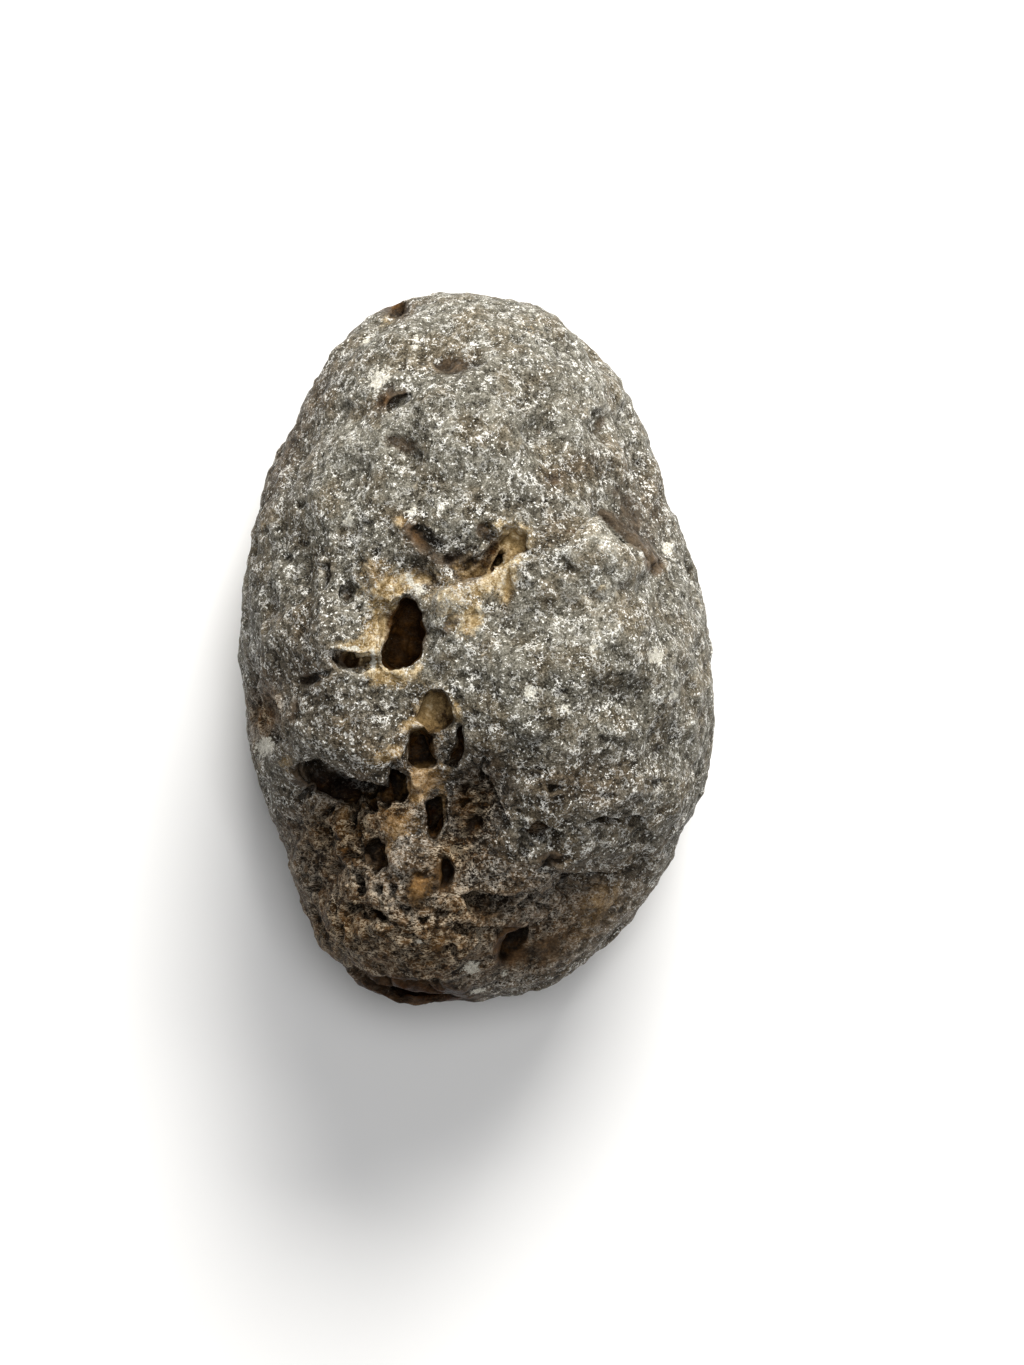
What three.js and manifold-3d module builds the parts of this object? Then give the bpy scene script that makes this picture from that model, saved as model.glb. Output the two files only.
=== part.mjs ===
// A tektite: one egg-shaped lump of dark natural glass, etched, pitted and hollowed, lying on its
// flatter side. Millimetres, +Z up, +Y towards the narrow end. The origin is on the surface that the
// stone lies on, below the middle of the stone.

import * as THREE from "three";
import { ImprovedNoise } from "three/addons/math/ImprovedNoise.js";
import { mergeVertices } from "three/addons/utils/BufferGeometryUtils.js";
import Module from "manifold-3d";

// Overall size, from the widest level of the stone.
const HALF_WIDTH = 13.3;
const HALF_LENGTH = 20.0;
const CROWN = 12.6; // up to the pitted face
const BELLY = 9.6; // down to the underside
const WORN = 0.45; // worn off the underside, which leaves the flat that the stone lies on
const FULLNESS = 2.15; // 2 gives elliptical cross-sections, more gives squarer ones

// Unevenness all over, each as how far it reaches and the size of one lump.
const LUMPS = { height: 0.9, size: 6.5 };
const KNOBS = { height: 0.45, size: 2.6 };
const DENTS = { height: 0.95, size: 3.9 }; // round dents that meet in sharp rims
const EDGE_SHARE = 0.22; // how much of this unevenness shows in the outline

// Dimples of the sides and the underside.
const DIMPLES = 46;
const DIMPLE_REACH = [0.07, 0.15]; // least and most, as a share of the stone's half-length
const DIMPLE_DEPTH = [0.35, 1.1];
const DIMPLE_TOP = 0.45; // where they start, as a share of the crown
const DIMPLE_SEED = 4;

// How finely the surface is divided.
const BODY_DETAIL = 17;
const UPPER_SHARE = 0.22; // how far the points are drawn up towards the pitted face
const HOLLOW_LEVELS = [
  { down: 1, narrowing: 1 },
  { down: 0.55, narrowing: 0.35 },
  { down: 0, narrowing: 0 },
]; // from the floor of a hollow to its mouth
const CLEAR = 3; // how far the cutting plugs stand out of the face
const TRENCH_SIDES = 7;
const TRENCH_STEPS = 8;
const TOOL_UNEVENNESS = 0.2;

// The outline at the widest level, counter-clockwise from the right.
const OUTLINE = [
  [12.9, 0.0],
  [11.8, 5.0],
  [10.7, 8.4],
  [9.8, 10.9],
  [8.5, 14.0],
  [6.4, 16.9],
  [3.8, 19.0],
  [1.5, 19.95],
  [-1.3, 20.1],
  [-4.5, 19.6],
  [-7.1, 18.0],
  [-8.9, 15.8],
  [-10.4, 12.9],
  [-11.8, 10.0],
  [-12.5, 7.4],
  [-13.3, 3.0],
  [-13.1, -2.8],
  [-12.5, -6.5],
  [-10.8, -10.6],
  [-10.0, -13.4],
  [-9.0, -15.9],
  [-6.9, -18.3],
  [-4.4, -19.8],
  [-0.6, -19.6],
  [3.9, -18.6],
  [6.4, -16.8],
  [8.8, -14.5],
  [10.4, -12.0],
  [12.0, -9.0],
  [13.1, -4.7],
  [13.2, -2.3],
];

// Broad swells and sags of the pitted face: at is their middle, spread their half-lengths along and
// across, turn the angle of the long one from +X in degrees, and lift how far they raise the surface.
const SWELLS = {
  rightShoulder: { at: [6.4, -3.0], spread: [7.5, 4.8], turn: 80, lift: 1.7 },
  shoulderPeak: { at: [6.3, 4.8], spread: [2.8, 1.9], turn: 20, lift: 1.3 },
  upperDome: { at: [-0.5, 12.5], spread: [6.0, 5.0], turn: 20, lift: 1.0 },
  leftPlate: { at: [-8.6, -0.6], spread: [6.0, 3.4], turn: 88, lift: 1.3 },
  leftPlateFoot: { at: [-6.8, -5.4], spread: [3.0, 1.5], turn: -14, lift: 1.0 },
  bluntEnd: { at: [-4.8, -15.4], spread: [4.2, 2.8], turn: -10, lift: 1.1 },
  bulb: { at: [-3.7, -11.2], spread: [2.0, 1.3], turn: 80, lift: 1.2 },
  bridgeBesideEye: { at: [-1.6, 0.8], spread: [2.8, 1.8], turn: 70, lift: 0.7 },
  aroundEye: { at: [-4.7, 1.4], spread: [2.8, 1.7], turn: 78, lift: -0.8 },
  basinAboveEye: { at: [-2.2, 4.7], spread: [2.1, 1.1], turn: 12, lift: -0.6 },
  middleValley: { at: [-2.8, -5.0], spread: [7.5, 2.2], turn: 84, lift: -1.4 },
  brownBasin: { at: [-0.4, -8.7], spread: [2.8, 1.9], turn: 70, lift: -0.7 },
  sagAboveRidge: { at: [7.4, 8.6], spread: [5.2, 2.4], turn: -46, lift: -1.3 },
  terrace: { at: [5.4, -14.8], spread: [5.5, 2.5], turn: 22, lift: -1.5 },
  leftEdgeBand: { at: [-10.2, 11.0], spread: [6.0, 1.6], turn: 66, lift: -0.7 },
  dipUnderPlate: { at: [-7.9, -9.9], spread: [4.0, 2.4], turn: -10, lift: -1.7 },
};

// Shallow cups in the pitted face, as x, y, radius and depth.
const CUPS = [
  [-1.8, 16.4, 1.9, 0.6],
  [1.9, 17.6, 1.5, 0.5],
  [3.5, 12.0, 1.9, 0.65],
  [6.9, 12.4, 1.7, 0.6],
  [-3.8, 11.4, 1.7, 0.6],
  [-6.8, 9.2, 1.6, 0.4],
  [-9.4, 4.0, 1.5, 0.6],
  [-7.0, 3.4, 1.3, 0.55],
  [0.4, 9.2, 1.8, 0.4],
  [3.3, 8.2, 1.7, 0.5],
  [-7.6, -3.2, 1.5, 0.4],
  [1.6, 1.6, 1.5, 0.5],
  [5.2, 2.2, 1.6, 0.45],
  [9.6, 1.6, 1.7, 0.5],
  [3.0, -2.0, 1.7, 0.45],
  [7.6, -2.4, 1.8, 0.45],
  [2.2, -5.8, 1.6, 0.45],
  [6.2, -6.6, 1.9, 0.5],
  [10.2, -5.4, 1.8, 0.5],
  [4.4, -9.0, 1.3, 0.4],
  [-0.3, -10.6, 1.4, 0.5],
  [-8.6, -12.4, 1.5, 0.55],
  [-4.6, -16.6, 1.5, 0.45],
  [5.9, -15.6, 1.7, 0.45],
];

// Hollows cut into the pitted face: the outline of the mouth, how deep the floor lies, the floor's
// size as a share of the mouth, and how far the floor is shifted sideways, which steepens that wall.
const HOLLOWS = {
  eye: {
    outline: [
      [-4.3, 3.2], [-3.6, 2.95], [-3.2, 2.25], [-3.05, 1.2], [-3.15, 0.2], [-3.5, -0.6],
      [-4.15, -1.15], [-5.0, -1.05], [-5.75, -0.65], [-5.7, 0.1], [-5.3, 0.9], [-5.05, 2.1],
    ],
    deep: 4.2,
    floor: 0.85,
    shift: [0.4, 0],
  },
  window: {
    outline: [
      [0.95, 6.3], [1.1, 7.0], [1.9, 7.1], [2.65, 6.8], [2.9, 6.2], [2.75, 5.55], [2.2, 5.05],
      [1.55, 4.9], [1.4, 5.5], [1.0, 5.75],
    ],
    deep: 1.0,
    floor: 0.65,
    shift: [-0.1, 0.25],
  },
  windowSlit: {
    outline: [[1.05, 5.65], [1.5, 5.6], [1.45, 5.0], [1.1, 4.5], [0.65, 4.1], [0.7, 4.5], [1.0, 5.0]],
    deep: 2.2,
    floor: 0.8,
    shift: [0.1, 0.1],
  },
  pitBesideWindow: {
    outline: [
      [-0.2, 6.4], [0.0, 6.95], [0.5, 7.15], [0.85, 6.8], [0.8, 6.3], [0.4, 5.95], [0.05, 6.0],
    ],
    deep: 0.65,
    floor: 0.6,
    shift: [0, 0.1],
  },
  grooveLeftArm: {
    outline: [
      [-4.25, 7.15], [-3.8, 7.4], [-3.2, 6.8], [-2.6, 6.1], [-2.15, 5.5], [-2.5, 5.0], [-3.2, 4.9],
      [-3.75, 5.3], [-4.1, 6.0], [-4.3, 6.7],
    ],
    deep: 0.6,
    floor: 0.4,
    shift: [0.45, 0.3],
  },
  grooveNotch: {
    outline: [
      [-2.3, 5.3], [-1.8, 5.5], [-0.95, 5.4], [-0.8, 5.0], [-1.3, 4.65], [-1.6, 4.3],
      [-2.1, 4.8],
    ],
    deep: 1.0,
    floor: 0.6,
    shift: [0, 0.15],
  },
  grooveRightArm: {
    outline: [
      [-1.8, 4.3], [-1.2, 4.85], [-0.4, 5.4], [0.3, 5.65], [1.05, 5.5], [1.0, 4.8], [0.7, 4.2],
      [0.1, 3.6], [-0.7, 3.5], [-1.5, 3.7],
    ],
    deep: 0.8,
    floor: 0.4,
    shift: [0.05, 0.4],
  },
  slotBesideEye: {
    outline: [
      [-8.3, -0.15], [-7.2, -0.15], [-6.6, -0.3], [-5.8, -0.25], [-5.7, -1.0], [-7.0, -1.0],
      [-8.0, -0.85],
    ],
    deep: 0.8,
    floor: 0.8,
    shift: [0, 0.3],
  },
  plateSlot: {
    outline: [[-8.95, 5.2], [-8.35, 5.25], [-8.25, 4.3], [-8.45, 3.4], [-8.9, 3.5], [-8.8, 4.4]],
    deep: 0.9,
    floor: 0.6,
    shift: [0.1, 0],
  },
  platePit: {
    outline: [[-7.85, 3.7], [-7.3, 4.0], [-6.95, 3.9], [-7.0, 2.5], [-7.6, 2.5], [-7.9, 3.0]],
    deep: 0.9,
    floor: 0.6,
    shift: [0.1, 0],
  },
  upperCup: {
    outline: [
      [-3.1, -2.7], [-2.6, -2.2], [-2.0, -2.3], [-1.6, -2.9], [-1.35, -3.7], [-1.6, -4.3],
      [-2.7, -4.5], [-3.9, -4.3], [-3.6, -3.6],
    ],
    deep: 1.0,
    floor: 0.5,
    shift: [0.2, 0.3],
  },
  comma: {
    outline: [
      [-3.95, -4.3], [-3.2, -4.25], [-2.6, -4.7], [-2.5, -5.5], [-2.1, -6.1], [-2.4, -6.8],
      [-3.1, -7.05], [-3.9, -6.9], [-4.15, -5.7],
    ],
    deep: 2.1,
    floor: 0.55,
    shift: [-0.1, 0.6],
  },
  crescent: {
    outline: [
      [-1.35, -3.75], [-0.9, -3.95], [-0.9, -5.0], [-1.1, -5.8], [-1.6, -6.4], [-2.4, -6.7],
      [-1.9, -5.95], [-1.5, -5.3], [-1.35, -4.5],
    ],
    deep: 1.8,
    floor: 0.8,
    shift: [0.1, 0],
  },
  caveEnd: {
    outline: [
      [-4.85, -6.2], [-4.3, -6.1], [-4.0, -6.8], [-4.0, -8.0], [-4.5, -8.5], [-5.1, -8.2],
      [-5.0, -7.0],
    ],
    deep: 3.4,
    floor: 0.8,
    shift: [0, 0.2],
  },
  cave: {
    outline: [
      [-10.4, -6.1], [-9.0, -5.75], [-8.2, -6.3], [-7.5, -6.8], [-6.2, -7.05], [-4.7, -7.4],
      [-4.7, -8.8], [-5.8, -9.9], [-7.6, -10.2], [-9.4, -9.3], [-10.7, -7.6],
    ],
    deep: 2.6,
    floor: 0.4,
    shift: [0.3, 1.4],
  },
  dripHole: {
    outline: [
      [-3.15, -8.2], [-2.6, -8.2], [-2.05, -7.9], [-1.85, -8.7], [-1.95, -9.5], [-2.6, -10.7],
      [-3.1, -10.5], [-3.15, -9.4],
    ],
    deep: 2.8,
    floor: 0.75,
    shift: [0.1, 0.4],
  },
  oval: {
    outline: [
      [-2.4, -11.6], [-1.95, -11.3], [-1.5, -11.5], [-1.2, -12.2], [-1.35, -13.1],
      [-1.9, -13.4], [-2.35, -13.1], [-2.5, -12.3],
    ],
    deep: 1.1,
    floor: 0.6,
    shift: [0, 0.15],
  },
  besideBulb: {
    outline: [
      [-6.1, -10.4], [-5.5, -10.15], [-4.95, -10.3], [-4.7, -11.9], [-5.3, -12.2], [-6.0, -11.9],
      [-6.4, -11.1],
    ],
    deep: 1.6,
    floor: 0.6,
    shift: [0.2, 0.2],
  },
  crevice: {
    outline: [
      [-7.0, -12.2], [-6.3, -12.2], [-6.15, -13.0], [-6.4, -13.7], [-7.0, -13.6], [-6.7, -12.9],
    ],
    deep: 1.1,
    floor: 0.7,
    shift: [0.1, 0.1],
  },
  bluntEndLedge: {
    outline: [
      [-7.4, -14.1], [-6.3, -13.9], [-5.0, -14.4], [-5.2, -15.0], [-6.2, -15.0], [-7.2, -15.1],
    ],
    deep: 0.8,
    floor: 0.5,
    shift: [0, 0.3],
  },
  terraceRecess: {
    outline: [
      [-1.0, -13.6], [0.4, -13.45], [1.9, -13.65], [2.1, -14.3], [1.5, -14.9], [0.6, -15.2],
      [-0.4, -15.1], [-0.9, -14.3],
    ],
    deep: 0.75,
    floor: 0.35,
    shift: [0, 0.45],
  },
  terracePit: {
    outline: [[2.1, -13.6], [3.1, -13.5], [3.4, -14.1], [2.9, -14.7], [2.2, -14.5]],
    deep: 0.4,
    floor: 0.6,
    shift: [0, 0.2],
  },
  brownSlot: {
    outline: [
      [1.55, -15.3], [2.7, -15.3], [2.8, -16.0], [2.5, -16.8], [2.1, -17.6], [1.2, -17.6],
      [0.9, -17.1], [1.2, -16.3],
    ],
    deep: 1.0,
    floor: 0.6,
    shift: [0, 0.25],
  },
  leftPocket: {
    outline: [
      [-12.6, -2.2], [-11.5, -2.2], [-11.1, -2.9], [-10.65, -3.9], [-10.6, -5.0], [-11.3, -5.4],
      [-12.6, -5.1], [-13.4, -3.6],
    ],
    deep: 1.1,
    floor: 0.6,
    shift: [0, 0],
  },
  upperNick: {
    outline: [
      [-5.1, 13.1], [-4.3, 13.7], [-3.7, 14.4], [-4.1, 14.8], [-4.8, 14.6], [-5.5, 14.2],
      [-5.6, 13.6],
    ],
    deep: 0.5,
    floor: 0.35,
    shift: [0.3, -0.2],
  },
  endNotch: {
    outline: [[-5.1, 19.9], [-3.8, 19.9], [-4.0, 18.9], [-4.6, 18.4], [-5.2, 18.7]],
    deep: 1.0,
    floor: 0.6,
    shift: [0, 0],
  },
  beyondRidge: {
    outline: [
      [5.0, 5.6], [5.7, 6.4], [6.2, 7.35], [6.9, 7.05], [7.7, 6.05], [9.0, 5.15], [9.8, 4.1],
      [10.8, 4.6], [10.4, 7.0], [9.0, 9.0], [7.2, 9.6], [5.6, 8.8], [4.7, 7.2],
    ],
    deep: 0.6,
    floor: 0.5,
    shift: [-0.2, -0.5],
  },
  underShoulder: {
    outline: [[3.1, -9.7], [3.4, -9.3], [3.95, -9.9], [4.0, -10.6], [3.1, -10.7]],
    deep: 0.6,
    floor: 0.7,
    shift: [0, 0.1],
  },
  shoulderRecess: {
    outline: [[3.2, -11.5], [4.2, -11.1], [4.95, -11.4], [4.8, -12.1], [3.6, -12.6], [2.9, -12.5]],
    deep: 0.5,
    floor: 0.6,
    shift: [0, 0.2],
  },
  belowShoulder: {
    outline: [
      [4.0, -12.15], [5.2, -12.2], [6.4, -11.95], [7.4, -12.2], [8.6, -11.9], [10.6, -10.7],
      [10.2, -12.4], [8.6, -14.2], [6.4, -14.9], [4.6, -14.0],
    ],
    deep: 0.65,
    floor: 0.5,
    shift: [0, 0.5],
  },
};

// Trenches cut along a path, each with half its width and its depth. under shifts the floor
// sideways, which leaves an overhanging edge.
const TRENCHES = {
  caveUnderPlate: {
    path: [[-10.0, -6.7], [-8.5, -6.8], [-7.2, -7.5], [-5.0, -8.0]],
    half: 0.8,
    deep: 2.9,
    under: [0.2, 1.4],
  },
  bluntEndLip: {
    path: [[-6.9, -18.2], [-3.8, -19.5], [-0.2, -19.4]],
    half: 0.8,
    deep: 1.6,
    under: [0, 1.1],
  },
};

const { degToRad, lerp, seededRandom, smoothstep } = THREE.MathUtils;
const improvedNoise = new ImprovedNoise();

// Smooth noise of about -1 to 1 with lumps of a size; each seed gives another part of it.
function roughness(p, size, seed) {
  const shift = 17.37 * seed;
  return improvedNoise.noise(p.x / size + shift, p.y / size + shift, p.z / size + shift);
}

// The outline as angles and distances from the middle, in rising order of angle.
const outlinePolar = OUTLINE.map(([x, y]) => ({
  angle: (Math.atan2(y, x) + 2 * Math.PI) % (2 * Math.PI),
  radius: Math.hypot(x, y),
}));

// Distance from the middle to the outline at an angle, on a smooth curve through its points.
function outlineRadius(angle) {
  const turn = (angle + 2 * Math.PI) % (2 * Math.PI);
  const count = outlinePolar.length;
  const next = outlinePolar.findIndex((point) => point.angle > turn);
  const last = (next - 1 + count) % count;
  const at = (step) => outlinePolar[(last + step + count) % count];
  const span = (at(1).angle - at(0).angle + 2 * Math.PI) % (2 * Math.PI);
  const share = ((turn - at(0).angle + 2 * Math.PI) % (2 * Math.PI)) / span;
  const [before, from, to, after] = [-1, 0, 1, 2].map((step) => at(step).radius);
  const bend = 2 * before - 5 * from + 4 * to - after + share * (3 * (from - to) + after - before);
  return from + 0.5 * share * (to - before + share * bend);
}

// How much a swell counts at a place on the pitted face, from 0 to 1.
function swellShare({ at, spread, turn }, x, y) {
  const angle = degToRad(turn);
  const [dx, dy] = [x - at[0], y - at[1]];
  const along = (dx * Math.cos(angle) + dy * Math.sin(angle)) / spread[0];
  const across = (dy * Math.cos(angle) - dx * Math.sin(angle)) / spread[1];
  return Math.exp(-(along * along + across * across));
}

// Depth of a round-bottomed dish at a distance from its middle.
function dish(away, radius, depth) {
  return away < radius ? depth * (1 - (away / radius) ** 2) : 0;
}

// How far the swells and cups raise the pitted face at a place.
function faceRelief(x, y) {
  let relief = 0;
  for (const swell of Object.values(SWELLS)) relief += swell.lift * swellShare(swell, x, y);
  const cups = CUPS.map(([cx, cy, radius, depth]) => dish(Math.hypot(x - cx, y - cy), radius, depth));
  return relief - Math.max(...cups);
}

// Dimples spread evenly by the golden angle, from DIMPLE_TOP down to the underside.
function makeDimples() {
  seededRandom(DIMPLE_SEED);
  const goldenAngle = Math.PI * (3 - Math.sqrt(5));
  return Array.from({ length: DIMPLES }, (_, i) => {
    const up = lerp(DIMPLE_TOP, -1, (i + 0.5) / DIMPLES);
    const flat = Math.sqrt(1 - up * up);
    const angle = i * goldenAngle;
    return {
      direction: new THREE.Vector3(flat * Math.cos(angle), flat * Math.sin(angle), up),
      reach: lerp(...DIMPLE_REACH, seededRandom()),
      depth: lerp(...DIMPLE_DEPTH, seededRandom()),
    };
  });
}
const dimples = makeDimples();

function dimpleDepth(direction) {
  const depths = dimples.map((dimple) =>
    dish(direction.distanceTo(dimple.direction), dimple.reach, dimple.depth),
  );
  return Math.max(...depths);
}

// The point of the stone's skin in a direction from its middle, before any hollow is cut.
function skinPoint(direction) {
  const flat = Math.hypot(direction.x, direction.y);
  const angle = Math.atan2(direction.y, direction.x);
  const norm = (flat ** FULLNESS + Math.abs(direction.z) ** FULLNESS) ** (1 / FULLNESS);
  const reach = (outlineRadius(angle) * flat) / norm;
  const height = direction.z > 0 ? CROWN : BELLY;
  const p = new THREE.Vector3(
    reach * Math.cos(angle),
    reach * Math.sin(angle),
    (height * direction.z) / norm,
  );
  const outward = new THREE.Vector3(p.x / HALF_WIDTH ** 2, p.y / HALF_LENGTH ** 2, p.z / height ** 2);
  outward.normalize();
  const onFace = smoothstep(p.z / CROWN, 0.1, 0.55);
  const uneven =
    LUMPS.height * roughness(p, LUMPS.size, 1) +
    KNOBS.height * roughness(p, KNOBS.size, 2) -
    DENTS.height * (Math.abs(roughness(p, DENTS.size, 3)) - 0.25);
  const showing = lerp(EDGE_SHARE, 1, Math.abs(outward.z));
  const relief = onFace * faceRelief(p.x, p.y) + showing * uneven - dimpleDepth(direction);
  return p.addScaledVector(outward, relief);
}

// Height of the uncut pitted face over a place, found by halving the range of tilts.
function faceHeight(x, y) {
  const distance = Math.hypot(x, y);
  const skinAt = (tilt) => {
    const flat = Math.cos(tilt) / distance;
    return skinPoint(new THREE.Vector3(x * flat, y * flat, Math.sin(tilt)));
  };
  let [low, high] = [0, Math.PI / 2];
  for (let step = 0; step < 24; step++) {
    const tilt = (low + high) / 2;
    const p = skinAt(tilt);
    if (Math.hypot(p.x, p.y) > distance) low = tilt;
    else high = tilt;
  }
  return skinAt(low).z;
}

const wasm = await Module();
wasm.setup();

function toSolid(geometry) {
  const bare = geometry.clone().deleteAttribute("normal").deleteAttribute("uv");
  const merged = mergeVertices(bare, 1e-4);
  return new wasm.Manifold(
    new wasm.Mesh({
      numProp: 3,
      vertProperties: merged.attributes.position.array,
      triVerts: merged.index.array,
    }),
  );
}

function toGeometry(solid) {
  const { vertProperties, triVerts } = solid.getMesh();
  const geometry = new THREE.BufferGeometry();
  geometry.setAttribute("position", new THREE.BufferAttribute(vertProperties, 3));
  geometry.setIndex(new THREE.BufferAttribute(triVerts, 1));
  geometry.computeVertexNormals();
  return geometry;
}

// Moves every vertex of a geometry to where place puts it.
function shaped(geometry, place) {
  const position = geometry.attributes.position;
  const p = new THREE.Vector3();
  for (let i = 0; i < position.count; i++) {
    const moved = place(p.fromBufferAttribute(position, i));
    position.setXYZ(i, moved.x, moved.y, moved.z);
  }
  return geometry;
}

// A tapered plug that cuts one hollow.
function hollowSolid({ outline, deep, floor, shift }) {
  const mouth = outline.map(([x, y]) => new THREE.Vector2(x, y));
  const middle = mouth.reduce((sum, p) => sum.add(p), new THREE.Vector2()).divideScalar(mouth.length);
  const surface = faceHeight(middle.x, middle.y);
  const plug = new THREE.ExtrudeGeometry(new THREE.Shape(mouth), {
    depth: HOLLOW_LEVELS.length - 1,
    steps: HOLLOW_LEVELS.length - 1,
    bevelEnabled: false,
  });
  shaped(plug, (p) => {
    const { down, narrowing } = HOLLOW_LEVELS[Math.round(p.z)];
    const size = lerp(1, floor, narrowing);
    return new THREE.Vector3(
      middle.x + size * (p.x - middle.x) + narrowing * shift[0],
      middle.y + size * (p.y - middle.y) + narrowing * shift[1],
      narrowing > 0 ? surface - down * deep : surface + CLEAR,
    );
  });
  return toSolid(plug);
}

// An uneven round-ended tube that cuts one trench: the sphere's poles become the trench's ends.
function trenchSolid({ path, half, deep, under }, seed) {
  const curve = new THREE.CatmullRomCurve3(path.map(([x, y]) => new THREE.Vector3(x, y, 0)));
  const tube = new THREE.SphereGeometry(1, TRENCH_SIDES, TRENCH_STEPS);
  const trench = shaped(tube, (p) => {
    const middle = curve.getPoint((p.y + 1) / 2);
    const ahead = curve.getTangent((p.y + 1) / 2);
    const uneven = 1 + TOOL_UNEVENNESS * roughness(p, 0.6, seed);
    const side = half * p.x * uneven;
    const below = Math.max(0, -p.z * uneven);
    return new THREE.Vector3(
      middle.x + ahead.y * side + under[0] * below,
      middle.y - ahead.x * side + under[1] * below,
      faceHeight(middle.x, middle.y) + deep * p.z * uneven,
    );
  });
  return toSolid(trench);
}

function bodySolid() {
  const body = shaped(new THREE.IcosahedronGeometry(1, BODY_DETAIL), (p) => {
    const drawnUp = new THREE.Vector3(p.x, p.y, p.z + UPPER_SHARE * (1 - p.z * p.z));
    return skinPoint(drawnUp.normalize());
  });
  return toSolid(body);
}

// The block below the level that the underside is worn down to.
function groundSolid() {
  const ground = new THREE.BoxGeometry(4 * HALF_WIDTH, 4 * HALF_LENGTH, BELLY);
  ground.translate(0, 0, WORN - BELLY - BELLY / 2);
  return toSolid(ground);
}

function stoneGeometry() {
  let stone = bodySolid();
  for (const hollow of Object.values(HOLLOWS)) stone = stone.subtract(hollowSolid(hollow));
  Object.values(TRENCHES).forEach((trench, i) => {
    stone = stone.subtract(trenchSolid(trench, i + 31));
  });
  const geometry = toGeometry(stone.subtract(groundSolid()));
  geometry.computeBoundingBox();
  const { min, max } = geometry.boundingBox;
  return geometry.translate(-(min.x + max.x) / 2, -(min.y + max.y) / 2, -min.z);
}

const tektite = new THREE.Mesh(
  stoneGeometry(),
  new THREE.MeshStandardMaterial({ color: 0x5f5c58, roughness: 0.6, metalness: 0 }),
);
tektite.name = "tektite";

const part = new THREE.Group();
part.add(tektite);

export default part;
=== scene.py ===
"""A tektite lying on its flatter side, seen from straight above with its narrow end away.

The stone starts as a copy of its CAD solid with a few knobs of glass added. It is divided finely, its
facets are relaxed, the small forms of the pitted face are carved into it, and a node tree etches the
skin all over. Metres, unless a value says millimetres.
"""

import math

import bmesh
import bpy
import numpy as np
from mathutils import Matrix, Vector


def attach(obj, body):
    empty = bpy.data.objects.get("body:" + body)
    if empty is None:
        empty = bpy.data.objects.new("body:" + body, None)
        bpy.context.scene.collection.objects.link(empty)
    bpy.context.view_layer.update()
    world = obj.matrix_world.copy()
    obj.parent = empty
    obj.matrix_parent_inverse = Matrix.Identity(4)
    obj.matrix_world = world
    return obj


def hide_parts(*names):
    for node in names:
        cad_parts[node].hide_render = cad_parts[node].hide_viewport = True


MM = 0.001

# How the stone's surface is divided and relaxed. A crease starts to be kept where the normals turn by
# CREASE_START within a few cells, and is kept by CRISPNESS where they turn by CREASE_SPAN more.
FINE_CELL = 0.15 * MM
RELAX_ROUNDS = 12
CREASE_START = 0.02
CREASE_SPAN = 0.06
CRISPNESS = 0.85
MOST_TRIANGLES = 196_000

# Heights above the floor in millimetres, below the first of which a change has no effect, and from
# the second of which up it has its full effect.
FOOT_LEVELS = (0.1, 1.3)
PATCH_LEVELS = (5.5, 9.0)
CARVED_LEVELS = (8.0, 11.0)
SUNK_LEVELS = (9.5, 12.0)

# The height map that finds the hollows of the pitted face: half its width, its cells, and how many
# cells wide a hollow may be to each side, which is also how often the spanned map is softened. The
# map loses its effect between the slopes of STEEP_SLOPES.
MAP_REACH = 24 * MM
MAP_CELL = 0.25 * MM
MAP_STEPS = 9
STEEP_SLOPES = (2.0, 0.8)

# Rounds of blurring over the neighbours: for the creases, the slope of the face, the close and the
# wide surroundings, the way they face, the depth below the spanned skin, and where mineral can lie.
CREASE_ROUNDS = (3, 2)
SLOPE_ROUNDS = 10
CLOSE_ROUNDS = 4
WIDE_ROUNDS = 60
FACING_ROUNDS = 20
SUNK_ROUNDS = 3
LYING_ROUNDS = 30

# How far up the skin faces where it starts to stray, to take small forms or to hold mineral, and
# where it does so fully.
STRAYING_FACING = (0.1, 0.7)
CARVED_FACING = (0.05, 0.35)
MINERAL_FACING = (0.1, 0.35)

# How the skin strays from the clean forms: first seed, over what distance, and how far, both in
# millimetres. The drawn places of the small hollows, dips, ledges and threads stray by
# FACE_WANDERING, and the threads break up by the random values of THREAD_BREAKS.
WANDERINGS = [(0, 2.4, 0.1), (10, 1.1, 0.14), (20, 0.5, 0.1)]
FACE_WANDERING = (30, 0.8, 0.16)
THREAD_BREAKS = (40, 0.7)
LATTICE = 32

# Places with ragged rims, in millimetres and degrees: x, y, half the length, half the width, turn of
# the long way from +X, and strength. RAGGED_GAIN is how much further the skin strays there.
RAGGED = [
    (-0.6, 5.6, 4.2, 2, 10, 1),
    (-4.8, 1, 1.8, 3, 0, 1),
    (-3, -6.5, 2.4, 5.5, 0, 1),
]
RAGGED_GAIN = 0.7

# How much of the etching shows in the outline, how strong it is on the plain skin, how much it gains
# where it is stronger, and how much of it goes where it is weaker.
EDGE_SHARE = 0.35
PLAIN_SHARE = 0.7
STRONG_GAIN = 0.9
WEAK_LOSS = 0.75

# The etched skin, in millimetres.
ETCHING = {
    "Swell Size": 3.2,
    "Swell Depth": 0.16,
    "Chip Size": 1.2,
    "Chip Depth": 0.1,
    "Pit Size": 0.7,
    "Pit Depth": 0.17,
    "Pit Share": 0.12,
    "Web Size": 1.5,
    "Web Height": 0.1,
    "Grain Size": 0.45,
    "Grain Depth": 0.14,
    "Seed": 3.0,
}

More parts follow.
